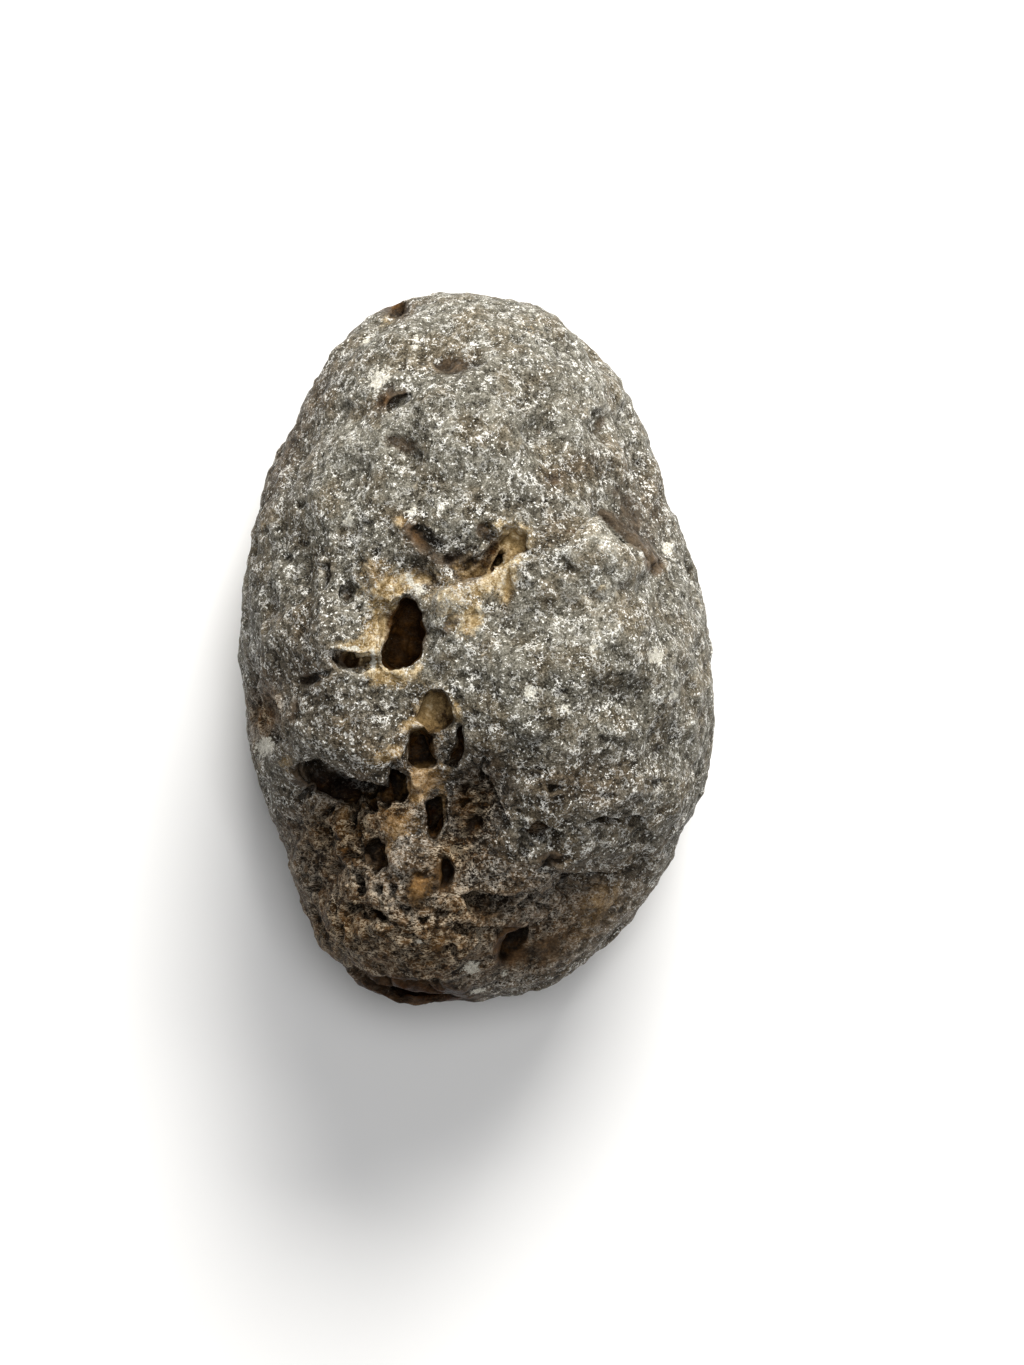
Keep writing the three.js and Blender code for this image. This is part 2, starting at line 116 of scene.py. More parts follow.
# Knobs of glass in and beside the hollows, in millimetres and degrees: x, y, z, half the length, half
# the width, half the height, and turn of the long way from +X.
GLASS_KNOBS = [
    (-4.75, 2.75, 20.7, 0.62, 0.4, 0.7, 80),
    (-3.1, -7.5, 19.1, 1, 0.55, 0.6, 8),
    (-3.35, -8.2, 19, 0.5, 0.3, 0.45, 80),
    (-2.3, -7.8, 19, 0.5, 0.35, 0.45, 60),
    (-3.1, -13.2, 18.9, 0.85, 0.62, 0.6, 80),
    (-10.75, -2.75, 17.75, 0.4, 0.36, 0.4, 0),
    (5.6, 6.7, 18.6, 1.2, 0.75, 1.6, 58),
    (5.7, 7.7, 17.2, 1.1, 0.8, 1.7, 50),
    (-0.5, 4.75, 19.6, 1.9, 0.95, 1, 14),
    (-1.5, 5, 19.7, 0.8, 0.5, 0.8, 0),
    (0.45, 6.5, 19.9, 0.6, 0.7, 0.9, 90),
]

# Places where the glass has melted smooth, given as the ragged places are.
MELTED = [
    (5.2, 7.6, 1.4, 0.8, 55, 1),
    (8.7, 7.6, 1.8, 0.7, -50, 0.6),
    (-3.6, -19.2, 3.2, 0.8, -10, 1),
    (-0.3, 4.6, 2, 0.7, 14, 0.25),
]
MELTING_ROUNDS = 180

# Small hollows of the pitted face, in millimetres and degrees: x, y, half the length, half the width,
# turn of the long way from +X, and depth.
SMALL_HOLLOWS = [
    (-4.6, 13.65, 0.75, 0.22, 45, 0.39), (-3.5, 10.7, 0.55, 0.45, 80, 0.25),
    (-4.6, 11.6, 0.5, 0.4, 20, 0.17), (-3.6, 13.4, 0.45, 0.4, 40, 0.17), (-4.2, 15.8, 0.35, 0.25, 60, 0.22),
    (-1.3, 15.9, 1.3, 0.65, 5, 0.22), (-0.4, 12.4, 0.6, 0.5, 30, 0.17), (-0.9, 11.7, 0.5, 0.4, 0, 0.14),
    (-2.3, 12.4, 0.45, 0.35, 0, 0.14), (2.2, 17.3, 0.45, 0.4, 10, 0.17), (3.3, 12, 0.9, 0.75, 10, 0.19),
    (2.5, 13.6, 0.5, 0.35, 0, 0.14), (6.8, 12.6, 0.75, 0.7, 80, 0.19), (4.15, 9.6, 0.4, 0.4, 60, 0.25),
    (2.7, 8, 0.7, 0.5, 40, 0.17), (-6.5, 2.4, 0.42, 0.3, 20, 0.45), (-9.7, 8, 0.32, 0.3, 0, 0.17),
    (-9.6, 5.8, 0.3, 0.26, 0, 0.18), (-10.6, 5.1, 0.3, 0.25, 0, 0.18), (-8.6, 10, 0.8, 0.25, 82, 0.17),
    (-7.4, 6.6, 0.45, 0.3, 60, 0.27), (-5.9, 7, 0.35, 0.25, 10, 0.18), (-5.5, 5.3, 0.35, 0.3, 10, 0.18),
    (6.6, 2.7, 0.5, 0.45, 0, 0.17), (7.5, 4, 0.6, 0.35, 75, 0.17), (-2.2, 0.6, 0.9, 0.35, 50, 0.16),
    (-1.25, 1.4, 0.6, 0.35, 55, 0.18), (-0.3, 1.5, 0.85, 0.5, 70, 0.23), (1.1, 4.85, 0.75, 0.2, 62, 0.35),
    (1.7, 3.4, 1.1, 0.32, 80, 0.25), (1.5, 2.5, 0.5, 0.35, 80, 0.16), (-6.9, -0.65, 0.3, 0.28, 0, 0.52),
    (-7.7, -0.5, 0.28, 0.26, 0, 0.45), (-9.2, -1.6, 0.65, 0.35, 5, 0.38), (-8.4, -1.4, 0.4, 0.25, 0, 0.3),
    (-9.8, -3.5, 0.5, 0.35, 70, 0.22), (-8, -3.5, 0.4, 0.3, 0, 0.15), (0.4, -6.5, 0.42, 0.36, 0, 0.5),
    (-9.6, -6.9, 0.7, 0.35, -20, 0.5), (-5.6, -8.7, 0.45, 0.4, 0, 1.2), (-6.7, -9.3, 0.75, 0.3, 85, 1.1),
    (-8, -8.9, 0.35, 0.28, 60, 0.7), (-8.9, -9.3, 0.32, 0.3, 0, 0.5), (-8.1, -9.9, 0.35, 0.25, 60, 0.5),
    (-9.7, -8.2, 0.45, 0.25, 60, 0.5), (-9.1, -7.9, 0.5, 0.25, 30, 0.5), (-0.8, -7.8, 0.34, 0.3, 0, 0.5),
    (-0.7, -8.6, 0.34, 0.3, 0, 0.6), (0.2, -7.3, 0.35, 0.3, 0, 0.4), (0.7, -8.6, 0.3, 0.25, 0, 0.4),
    (-0.2, -9.6, 0.35, 0.3, 0, 0.35), (-9.5, -11.4, 0.7, 0.45, 80, 0.4), (-7, -11.6, 0.5, 0.35, -20, 0.6),
    (-7.9, -12.2, 0.35, 0.3, 0, 0.4), (-5.6, -12.2, 0.5, 0.35, 10, 0.7), (-4.9, -12.6, 0.35, 0.3, 0, 0.4),
    (-6.5, -12.45, 0.38, 0.24, -50, 0.8), (-6.45, -13.15, 0.55, 0.26, 55, 0.8),
    (-5.5, -13.3, 0.42, 0.38, 0, 0.7), (-4.65, -13.3, 0.45, 0.3, 90, 0.6),
    (-8.9, -13.2, 0.5, 0.3, 75, 0.35), (-8, -14.5, 0.4, 0.22, 80, 0.4), (-6.6, -14.55, 0.95, 0.33, -14, 1),
    (-5.3, -14.85, 0.6, 0.25, -5, 0.7), (-7.5, -15.6, 0.5, 0.28, 85, 0.5),
    (-3.9, -14.5, 0.45, 0.25, -20, 0.6), (-3, -14.9, 0.35, 0.25, 0, 0.5), (-2, -14.65, 0.5, 0.35, 0, 0.7),
    (-1, -15.45, 0.45, 0.32, -20, 0.6), (-1.35, -16.6, 0.5, 0.3, -30, 0.4),
    (-3.5, -15.75, 0.55, 0.18, -10, 0.6), (-6.3, -17, 0.3, 0.25, 0, 0.3), (-4.9, -16.3, 0.4, 0.2, 0, 0.3),
    (2.7, -11, 0.5, 0.4, 0, 0.4), (4.3, -7.65, 0.45, 0.25, 10, 0.5), (3.2, -6.9, 0.4, 0.2, 20, 0.3),
    (7.3, -9.7, 1.2, 0.28, -3, 0.5), (3.1, -10.35, 0.7, 0.35, -5, 0.5), (5.1, -12.45, 1.2, 0.3, 2, 0.4),
    (0.6, -14.35, 1.4, 0.8, -5, 0.6), (4.3, -11.55, 0.8, 0.35, 10, 0.3), (3.6, -14.4, 0.45, 0.35, 0, 0.4),
    (8.8, -9.4, 0.7, 0.2, 0, 0.35), (6.1, -12.3, 0.4, 0.3, 10, 0.4), (5, -14.1, 0.5, 0.25, 60, 0.4),
    (7.4, -8.2, 0.5, 0.22, 5, 0.25), (10.1, -7.4, 0.4, 0.3, 5, 0.3), (9.9, 4.6, 0.5, 0.4, 60, 0.33),
    (4.6, -2.4, 0.5, 0.25, 10, 0.17), (2.6, -2.8, 0.35, 0.25, 10, 0.14), (5.6, 0.9, 0.6, 0.3, 20, 0.14),
]

# Broad, soft dips of the pitted face around its hollows, as the small hollows are given. A depth
# below 0 raises the surface.
BROAD_DIPS = [
    (-3.1, 5.9, 1.4, 0.5, -45, -0.15), (-5.2, 1.2, 2.4, 1, 78, 0.45), (-3.9, 3.6, 1, 0.6, 10, 0.3),
    (-2.4, -3.4, 1.6, 1.2, 60, 0.35), (-0.2, -8.6, 2.4, 1.6, 80, 0.5), (-4.4, -7.6, 1.6, 1, 80, 0.5),
    (7.9, 8.2, 3, 1.2, -48, 0.3), (-7, -9.1, 2.4, 0.9, -10, -0.7), (-6.25, -8.3, 0.9, 0.22, 80, -0.7),
    (-5.1, -8.3, 0.8, 0.22, 95, -0.8), (-8.5, -8.5, 0.9, 0.22, 75, -0.4), (-5.6, -11.1, 0.6, 0.9, 10, -0.5),
    (0.5, -14.2, 1.4, 0.5, 0, -0.15), (4.2, -11.6, 0.8, 0.5, 10, -0.45), (-6, -11.6, 1.6, 1, 60, 0.5),
    (6.6, -13.4, 2.6, 0.9, 10, 0.3), (7.6, -14.6, 0.9, 0.3, 50, 0.3), (5.4, -15.6, 0.9, 0.3, 60, 0.3),
    (6.6, -14.1, 0.8, 0.3, 40, -0.25), (8, -13.2, 0.8, 0.3, 50, -0.25), (-11.9, -3.7, 1.6, 1, 82, 0.4),
    (-5.6, 13.6, 2, 0.8, 50, 0.4), (-1.3, 15.9, 1.8, 0.8, 5, 0.3), (3.3, 12, 1.3, 1, 10, 0.3),
    (6.9, 12.4, 1.2, 1, 80, 0.3), (-3.7, 11.2, 1.3, 0.7, 80, 0.3), (-9.4, 2.6, 2.6, 0.6, 85, 0.3),
    (5.9, 5.9, 1, 0.9, 40, -0.3), (7, 0.8, 2.8, 1.4, 0, -0.4), (-1.6, 1.9, 2.2, 0.8, 65, -0.35),
    (-0.3, 3.3, 2.4, 0.5, 18, -0.25), (-4.1, -10.7, 1.5, 0.9, 80, -0.5), (-3.3, -7.5, 1, 0.5, 8, -0.3),
    (-8.4, -3.8, 2.6, 1.4, -10, -0.3), (-3.5, -16, 3, 1.4, -6, -0.4), (-7.5, -7.6, 1.5, 0.5, -10, 0.9),
    (-6.2, -15.4, 0.6, 0.35, -10, -0.2), (-7.4, -10.6, 0.9, 0.3, 70, -0.35),
    (-9.3, -10.4, 1.2, 0.4, 60, -0.3),
]

# Ledges of the pitted face, in millimetres: drop, run and path. The surface drops to the right of the
# path and comes back over about the run. A drop below 0 lifts the surface instead.
LEDGES = [
    (-0.35, 0.8, [(-2.6, 2.7), (-1.9, 2.9), (-1, 3.1), (0, 3.5), (0.8, 4.1), (1.7, 4.8), (3.3, 5)]),
    (-0.3, 1.6, [(4.6, 5.1), (5.4, 5.9), (6, 7.1)]),
    (-0.45, 1.3, [(5.9, 7.1), (6.6, 7.1), (7.5, 6.1), (8.8, 5.3), (9.8, 4.1)]),
    (0.9, 1.3, [(-10.2, -6.1), (-9.1, -6.05), (-8.2, -6.55), (-7.3, -6.95), (-6.4, -7.1), (-5.2, -7.6)]),
    (1.2, 1.4, [(-7.2, -17.6), (-6.2, -17.8), (-5.2, -18.1), (-4, -18.2), (-2.6, -18.2), (-1.5, -18.5)]),
    (0.4, 0.6, [(-8.4, -0.1), (-7.2, -0.1), (-6.6, -0.25), (-5.7, -0.2)]),
    (0.5, 1.2, [(-1, -5), (0.2, -6.8), (1.3, -8.6), (2, -10)]),
    (0.7, 1, [(2.1, -9.9), (2.9, -10), (3.4, -9.5), (3.9, -9.95), (5, -10.05)]),
    (0.8, 1.3, [(3.9, -12.3), (5, -12.1), (6.3, -12.05), (8, -11.9), (10.2, -10.9)]),
    (0.4, 0.8, [(-1, -13.6), (0.4, -13.5), (1.9, -13.7), (3.2, -13.5), (4.9, -13.7)]),
    (0.5, 0.9, [(-0.6, -15.4), (1.5, -15.4), (2.7, -15.4), (3.9, -15), (4.6, -14.2)]),
    (0.5, 0.8, [(-7.6, -14.4), (-7, -14.1), (-6, -14.1), (-5, -14.6)]),
    (0.3, 0.6, [(-3.6, -11.9), (-3, -12.3), (-2.5, -11.9)]),
    (0.6, 1, [(5.9, -9.6), (6.8, -9.35), (7.4, -9.3), (9.8, -9.3)]),
    (0.2, 0.6, [(8, -10.9), (8.9, -10.6), (9.8, -10)]),
    (-0.25, 0.5, [(-8.3, 5.2), (-8.2, 4.4), (-8.35, 3.4)]),
    (-0.3, 0.8, [(-11, -2.2), (-10.6, -3.4), (-10.4, -5)]),
]

# Thin raised threads of glass on the pitted face, in millimetres: height and path, and half the width.
THREADS = [
    (0.22, [(-2.5, 2.7), (-1.9, 3), (-1, 3.15), (0, 3.55), (0.8, 4.1), (1.7, 4.85)]),
    (0.25, [(1.7, 4.85), (2.5, 5.1), (3.4, 5), (4.3, 5.1), (5, 5.5), (5.6, 6.2)]),
    (0.25, [(5.5, 6.4), (6.1, 7.1), (6.7, 7.1), (7.3, 6.5), (7.9, 5.9), (8.8, 5.3), (9.7, 4.3)]),
    (0.2, [(3.7, 5.25), (4.4, 5.45), (5, 5.95), (5.5, 6.4)]),
    (0.35, [(-1.6, 4.4), (-0.9, 4.9), (-0.2, 5.4), (0.3, 5.65), (1, 5.75)]),
    (0.2, [(-0.1, 6), (-0.25, 6.5), (0, 7.05), (0.5, 7.2), (0.9, 6.9)]),
    (0.2, [(0.2, 7.35), (0.8, 7.2), (1.3, 7.1), (2.1, 7.2), (2.8, 6.8)]),
    (0.2, [(2.95, 6.7), (3, 6.1), (2.7, 5.5)]),
    (0.25, [(0.8, 7.1), (1.3, 6.6), (2, 6.35), (2.7, 6.4)]),
    (0.22, [(1.6, 5), (1.65, 5.5), (1.4, 6)]),
    (0.22, [(2, 4.3), (2.25, 3.7), (2.4, 3), (2.35, 2.5)]),
    (0.2, [(0.1, 2.5), (0.35, 2.2), (0.3, 1.6)]),
    (0.18, [(-3, 2.7), (-2.95, 1.7), (-2.95, 0.6), (-3.1, -0.2)]),
    (0.25, [(-5.75, -1.6), (-5.75, -0.7), (-5.65, 0.1), (-5.35, 0.8), (-5.1, 1.6)]),
    (0.25, [(-8.3, 0), (-7.4, 0.05), (-6.6, -0.1), (-5.9, -0.05)]),
    (0.2, [(-4.9, -1.15), (-4.2, -1.3), (-3.5, -0.8)]),
    (0.2, [(-3.3, -2.6), (-2.6, -2.05), (-1.9, -2.15), (-1.3, -3), (-0.8, -3.8)]),
    (0.2, [(-4, -4.15), (-3.2, -4.2), (-2.5, -4.6), (-2.35, -5.4), (-2, -5.9)]),
    (0.2, [(-2.5, -11.6), (-2, -11.2), (-1.4, -11.4), (-1.1, -12.3), (-1.3, -13.3)]),
    (0.3, [(-4.9, -9.4), (-5, -10.6), (-4.7, -11.6), (-4, -12.1), (-3.1, -12.2)]),
    (0.25, [(-7, -12.1), (-6.4, -12.1), (-6, -12.9), (-6.2, -13.8)]),
    (0.35, [(-7.6, -8.3), (-7.5, -9.4), (-7.3, -10.4)]),
    (0.16, [(2, 12.1), (2.5, 11.6), (2.9, 11.15), (3.5, 10.95), (4.3, 11.1)]),
    (0.16, [(6.1, 13.5), (6.25, 12.6), (6.2, 11.7)]),
    (0.14, [(-1.4, 11.2), (-0.8, 11.1), (-0.3, 11.5)]),
    (0.16, [(6.1, 2.9), (6.2, 2.2), (6.7, 1.8)]),
    (0.16, [(7.4, 4.2), (7.35, 3.3), (7.2, 2.7)]),
    (0.25, [(-7.2, -17.5), (-5.8, -17.8), (-4.4, -18.05), (-3, -18.1), (-1.7, -18.3)]),
    (0.2, [(-1.7, -18.5), (-1.1, -19), (-0.2, -19.3)]),
    (0.16, [(6, -13.9), (6.5, -13.4), (7.3, -13.1), (8.6, -13)]),
]
THREAD_WIDTH = 0.2

# Patches of glass and mineral on the pitted face, given as the ragged places are.
PATCHES = {}
PATCHES["tan mineral"] = [
    (-5.55, 0.9, 1.5, 0.55, 78, 1), (-4.6, 4, 1.9, 1, 10, 0.4), (-6, 0.8, 2.6, 1, 78, 0.35),
    (-4.6, -1.9, 1.6, 0.6, 0, 0.35), (-6.6, 0.15, 1.5, 0.4, 0, 0.8), (-5, 3.2, 0.9, 0.5, 20, 0.9),
    (-4.75, 2.7, 0.5, 0.35, 80, 1), (-3.7, 3.7, 1.1, 0.5, 20, 0.8), (-5.9, 4.6, 1.3, 1, 120, 0.35),
    (-4.6, -1.4, 1.3, 0.45, 0, 0.9), (-5.4, -1.1, 0.7, 0.35, 80, 1), (-3.2, -0.9, 0.6, 0.3, 60, 0.6),
    (-4.2, 7.1, 0.4, 0.4, 0, 0.8), (2.1, 6.1, 1.1, 0.9, 40, 0.9), (1.3, 6.9, 0.7, 0.3, 0, 0.7),
    (1.7, 4.6, 1.2, 0.4, 30, 0.7), (0.4, 3.5, 1.3, 0.4, 30, 0.8), (1, 3.9, 1, 0.5, 40, 0.8),
    (-0.5, 4.5, 1.6, 0.7, 15, 0.5), (-1.4, 2, 1.6, 1.6, 0, 0.4), (1.7, 3.4, 1.2, 0.5, 80, 0.8),
    (-0.3, 1.6, 0.95, 0.6, 70, 0.9), (-1.6, 3.2, 1.4, 0.5, 15, 0.4), (-2.6, -3.2, 1.1, 0.8, 60, 0.95),
    (-3.3, -4.1, 0.9, 0.3, 10, 0.9), (-1.2, -3.4, 0.7, 0.4, 120, 0.8), (-2, -4.8, 0.7, 0.4, 90, 0.5),
    (-3.1, -7.4, 1.1, 0.7, 8, 0.9), (-3.35, -8.1, 0.5, 0.35, 80, 1), (-4.9, -5.8, 1.1, 0.5, 20, 1),
    (-3.1, -6.9, 1, 0.5, 10, 0.9), (-3, -4.25, 1, 0.35, 10, 0.9), (-2.6, -6.5, 0.8, 0.5, 0, 0.5),
    (-1.9, -8.2, 1.3, 0.3, 85, 0.6), (-5, -8.7, 0.9, 0.6, 60, 0.2), (-7.3, -9.4, 1.2, 0.4, 80, 0.5),
    (-6.3, -8.9, 1.6, 0.7, -10, 0.3), (-5.4, -8.2, 1, 0.5, 0, 0.3), (-8.8, -8.5, 1, 0.5, -20, 0.4),
    (6.9, -13.9, 2, 1.2, 32, 0.55), (5.6, -16, 1.4, 0.8, 40, 0.3), (-5.9, -9.8, 0.9, 0.5, 20, 0.15),
    (-4, -9.7, 0.9, 0.7, 20, 0.95), (-4.8, -10.4, 1.3, 0.3, 85, 0.8), (-3.2, -13.1, 1, 0.7, 80, 0.8),
    (-1.9, -12.3, 0.8, 0.5, 80, 0.3), (-7.4, -4, 0.9, 0.7, 10, 0.35), (-8.4, -2.7, 0.8, 0.5, 10, 0.25),
    (-10.6, -6.2, 0.6, 0.5, 0, 0.6), (-12.2, 6.8, 1.3, 0.5, 80, 0.5), (2.9, 18, 1.2, 0.5, -40, 0.4),
    (-5, 18.4, 0.7, 0.4, 20, 0.5), (6.8, 3.3, 0.5, 0.3, 20, 0.5), (7, 6, 1.4, 0.7, -45, 0.35),
    (-0.3, -8.6, 1.8, 1.4, 70, 0.3), (0.5, -0.3, 0.5, 0.3, 20, 0.4),
]
PATCHES["cream mineral"] = [
    (-5.4, 15, 0.7, 0.6, 30, 1), (-3.4, 16.9, 0.8, 0.4, 80, 0.5), (-6, 17.2, 0.6, 0.4, 30, 0.7),
    (-3.3, 3.4, 0.9, 0.3, -38, 0.8), (-7, 0.05, 1.2, 0.14, 0, 0.8), (-5.7, -0.6, 0.8, 0.14, 88, 0.9),
    (-0.3, -17.7, 0.6, 0.5, 10, 0.75), (9.9, -0.4, 0.55, 0.5, 0, 0.9), (-11.9, -5.4, 0.8, 0.6, 20, 1),
    (10.6, 5.7, 0.45, 0.35, 30, 1), (3, -2.4, 0.5, 0.45, 30, 0.9), (4.9, -3.3, 0.5, 0.3, -20, 0.7),
    (6.4, 0.1, 0.35, 0.3, 0, 0.8), (10.9, -2.6, 0.35, 0.25, 0, 0.8), (-7.1, 7.1, 0.45, 0.35, 40, 0.9),
    (-3.6, 7.7, 0.4, 0.3, 20, 0.7), (-1.9, 7.9, 0.4, 0.2, 20, 0.8), (0.1, -19, 0.6, 0.2, 10, 0.8),
    (1.5, -18, 0.4, 0.2, 20, 0.6), (-3.2, -16.2, 0.4, 0.2, -20, 0.7), (-0.6, 3.35, 1.3, 0.22, 20, 0.25),
    (1.2, 4.35, 0.9, 0.22, 42, 0.35), (-3.8, 4.1, 0.8, 0.35, -10, 0.45), (2.4, 5, 0.7, 0.2, 5, 0.45),
]
PATCHES["brown glass"] = [
    (0, -8.6, 2.6, 1.7, 80, 1), (-7.3, -10.2, 4.6, 3.2, 10, 1), (-7.6, -15.4, 4.4, 4, 0, 0.95),
    (-2, -16.6, 5.4, 3, 0, 0.95), (6.3, -14.4, 4.6, 2.8, 32, 0.65), (1.8, -16.4, 1.6, 0.9, 75, 0.9),
    (6.2, 10.3, 1.6, 0.8, 10, 0.35), (4.3, 9.5, 0.7, 0.5, 10, 0.5), (4.2, 6.9, 1, 1.7, 0, 0.25),
    (-3.2, -13, 1.2, 0.9, 80, 0.9), (-3.1, -7.5, 1.3, 0.8, 8, 0.7), (-1.85, -12.4, 1.1, 0.6, 85, 1),
    (2, -13, 3, 2, 0, 0.6), (-11.9, -3.6, 1.9, 1.2, 82, 1), (-10.9, 11.7, 6, 1.6, 62, 0.6),
    (-4.5, 19.2, 0.8, 0.7, 0, 1), (-5.1, 13.8, 0.8, 0.45, 60, 0.9), (-1.3, 15.9, 1.3, 0.6, 5, 0.4),
    (-9.9, -0.5, 4, 2.4, 80, 0.35), (-4.2, -19.6, 3.8, 1.4, -6, 1), (-1.4, -19.5, 1.6, 0.8, -20, 1),
    (3.6, -16.8, 2, 1.4, 30, 0.7), (-3.2, 6.1, 1.5, 0.55, -48, 0.9), (-0.6, 4.8, 2, 0.8, 12, 0.4),
    (-0.8, -14.3, 1.6, 1.3, 0, 0.9), (-7, -3.8, 3.6, 2.2, -10, 0.25), (5.5, -7.6, 4.5, 2.2, 0, 0.4),
    (-2.8, -5.6, 2, 1.4, 60, 0.6), (9.4, 7.9, 2.6, 1.2, -70, 0.3), (-5.5, 4.3, 0.9, 0.9, 0, 0.4),
    # The first and last rows of this line also stand in for shade: painted shade under the lip of the tan
    # plate and beside the ridge above the eye.
    (-4.8, -8.9, 1.5, 0.8, 0, 1), (-1.3, -11.3, 1.7, 1.3, 0, 1), (-0.5, 3.7, 1.2, 0.3, 20, 0.4),
]
PATCHES["bare glass"] = [
    (-3.3, 6.1, 1.45, 0.6, -48, 0.8), (-1.5, 5, 0.9, 0.5, 0, 0.7), (-0.1, 4.7, 1.5, 0.75, 16, 0.5),
    (1.9, 6, 1.15, 0.95, 45, 0.8), (0.35, 6.5, 0.55, 0.6, 0, 0.8), (-1.4, 1.4, 0.75, 0.4, 55, 0.9),
    (-0.2, 1.4, 0.95, 0.6, 70, 0.6), (1.7, 3.4, 1.1, 0.4, 80, 0.6), (-2.3, -3.3, 1.1, 0.85, -60, 0.5),
    (-7, -0.6, 1.4, 0.5, 0, 0.9), (-9.2, -1.6, 0.8, 0.4, 5, 0.8), (-11.8, -3.7, 1.5, 1, 80, 0.15),
    (-10.1, -3.4, 1.1, 0.35, 75, 0.6), (-8.8, -7.2, 2.2, 0.9, -15, 0.9), (-3.2, -13.2, 1, 0.75, 80, 0.9),
    (-1.85, -12.4, 1.05, 0.6, 85, 1), (-5.6, -11.2, 1, 0.8, 80, 0.9), (1.8, -16.4, 1.4, 0.9, 75, 1),
    (-4.8, -19.3, 2.4, 1.1, -14, 1), (-2.3, -19.4, 2.2, 0.95, -4, 1), (-2.8, -19, 2.2, 0.5, -10, 0.9),
    (0.5, -14.2, 1.6, 0.7, 0, 0.5), (6.4, -13.5, 1.8, 0.8, 10, 0.3), (8.3, -13.2, 1.6, 1, 45, 0.3),
    (5.6, -16.2, 2.6, 1, 35, 0.3), (6.8, -14.9, 1.8, 1, 25, 0.3), (3.6, -16.7, 1.9, 1.2, 30, 0.55),
    (4.1, -11.6, 0.9, 0.45, 10, 1), (-4.5, 19.1, 0.8, 0.6, 0, 1), (-5, 14, 0.8, 0.45, 45, 0.8),
    (-4.2, 14.1, 0.7, 0.35, 45, 0.6), (-1.4, 15.7, 1.5, 0.6, 5, 0.75), (-3.7, 11.1, 0.6, 0.9, 80, 0.6),
    (-4.6, 11.6, 0.9, 0.5, 0, 0.5), (4.2, 9.4, 0.5, 0.5, 0, 0.6), (8.6, 7.6, 2.8, 0.9, -58, 0.6),
    # The three rows along the crest's right side are bare glass that also stands in for the shade on that
    # slope: painted shade.
    (7.3, 7.3, 0.9, 0.3, -35, 0.9), (8.6, 6.2, 1.6, 0.45, -42, 0.6), (9.7, 4.8, 0.7, 0.4, -50, 0.6),
    (6.8, 12.6, 0.9, 0.7, 80, 0.5), (9.9, 4.6, 0.7, 0.4, 60, 0.6), (3.4, 12, 1.1, 0.8, 0, 0.4),
]
# Painted shade, dark brown: where shade falls in the cave under its lip, in slots and pits, and under the
# lip of the blunt end, over glass that is darker there too.
PATCHES["dark glass and painted shade"] = [
    (-7.5, -7.45, 1.5, 0.45, -8, 1), (-2.5, -8.9, 0.9, 0.4, 80, 0.8), (-4.6, -7.4, 0.8, 0.35, 80, 0.6),
    (1.8, -16.4, 1.2, 0.6, 75, 0.4), (-3.8, -19.1, 3, 0.7, -10, 0.8), (-1.6, -19.3, 1, 0.5, -20, 0.5),
    (-6.6, -14.6, 0.9, 0.3, -12, 0.4), (1.2, 5, 0.7, 0.25, 60, 0.2),
]
# Lighter frosted skin, partly painted light: on the peak's plateau, on the floor of the eye, and on the
# lower right slope that faces away from the light.
PATCHES["frosted"] = [
    (6.8, 2.8, 3, 2, 0, 1), (-1.5, 0.8, 1.6, 2.2, 0, 0.9), (0, 18.2, 4.5, 1.4, 0, 0.6),
    (1.5, 12.5, 5, 3.5, 0, 0.35), (11.8, -2, 1.6, 4.5, 0, 0.6), (5.8, 6, 1.2, 0.8, 40, 0.8),
    (7.1, 5.6, 1.8, 0.9, -45, 1), (6.4, 6.7, 0.8, 0.6, -20, 1), (9.1, 8.2, 2.2, 0.6, -62, 0.5),
    (0.2, 3.6, 2.4, 0.4, 22, 0.5), (-3.4, 3.3, 1.1, 0.5, -38, 0.9), (6.8, 13.2, 3.4, 1.8, -68, 0.8),
    (-4.1, 0.8, 1.8, 0.8, 78, 1), (-7, 11.8, 2.8, 2.2, 60, 0.9), (6.4, -14.4, 3.8, 2.2, 32, 1),
    (9.2, -13.2, 1.4, 0.6, 62, 1), (-11.8, -3.7, 1.2, 1.5, 0, 0.8), (1, 2.5, 2, 1.6, 0, 0.4),
]

# Where the etching is stronger, and where it is weaker, given as the ragged places are.
STRONG_ETCHING = [
    (-7.3, -10.2, 4, 3.2, 10, 1), (-7.6, -15.4, 4, 3.6, 0, 1), (-2, -16, 5, 3, 0, 0.9),
    (-8.5, 2.5, 3, 3.4, 80, 0.45), (2.5, -12, 3, 2.5, 0, 0.8), (0.2, -8.4, 2.8, 1.9, 80, 0.6),
    (-7, -4, 3, 2, 0, 0.4),
]
WEAK_ETCHING = [
    (6.6, -14.2, 4, 2.4, 32, 0.6), (-11.8, -3.6, 1.8, 1.2, 82, 0.95), (7.6, 8.3, 3.4, 1.6, -50, 0.7),
    (7.1, 5.8, 1.5, 0.9, -45, 0.9), (-4.1, 1, 2.4, 1.2, 78, 0.2), (-3.2, 5.9, 1.6, 0.6, -45, 0.7),
    (-0.5, 4.8, 1.8, 0.8, 15, 0.7), (2, 6, 1.2, 1, 40, 0.8), (-2.4, -3.2, 1.1, 0.9, 60, 0.4),
    (-4.5, 19.2, 1, 0.8, 0, 0.8), (-3.6, -19.3, 3.4, 1.1, -8, 0.95), (2, -16.4, 1.6, 0.8, 75, 0.9),
    (3.8, -16.8, 1.8, 1.1, 30, 0.7), (-1.85, -12.4, 1.1, 0.6, 85, 0.9), (-10.2, 12.5, 6, 1.3, 62, 0.5),
    (-3.1, -13.2, 0.85, 0.62, 80, 0.7), (-3.1, -7.4, 1.1, 0.7, 8, 0.6),
]

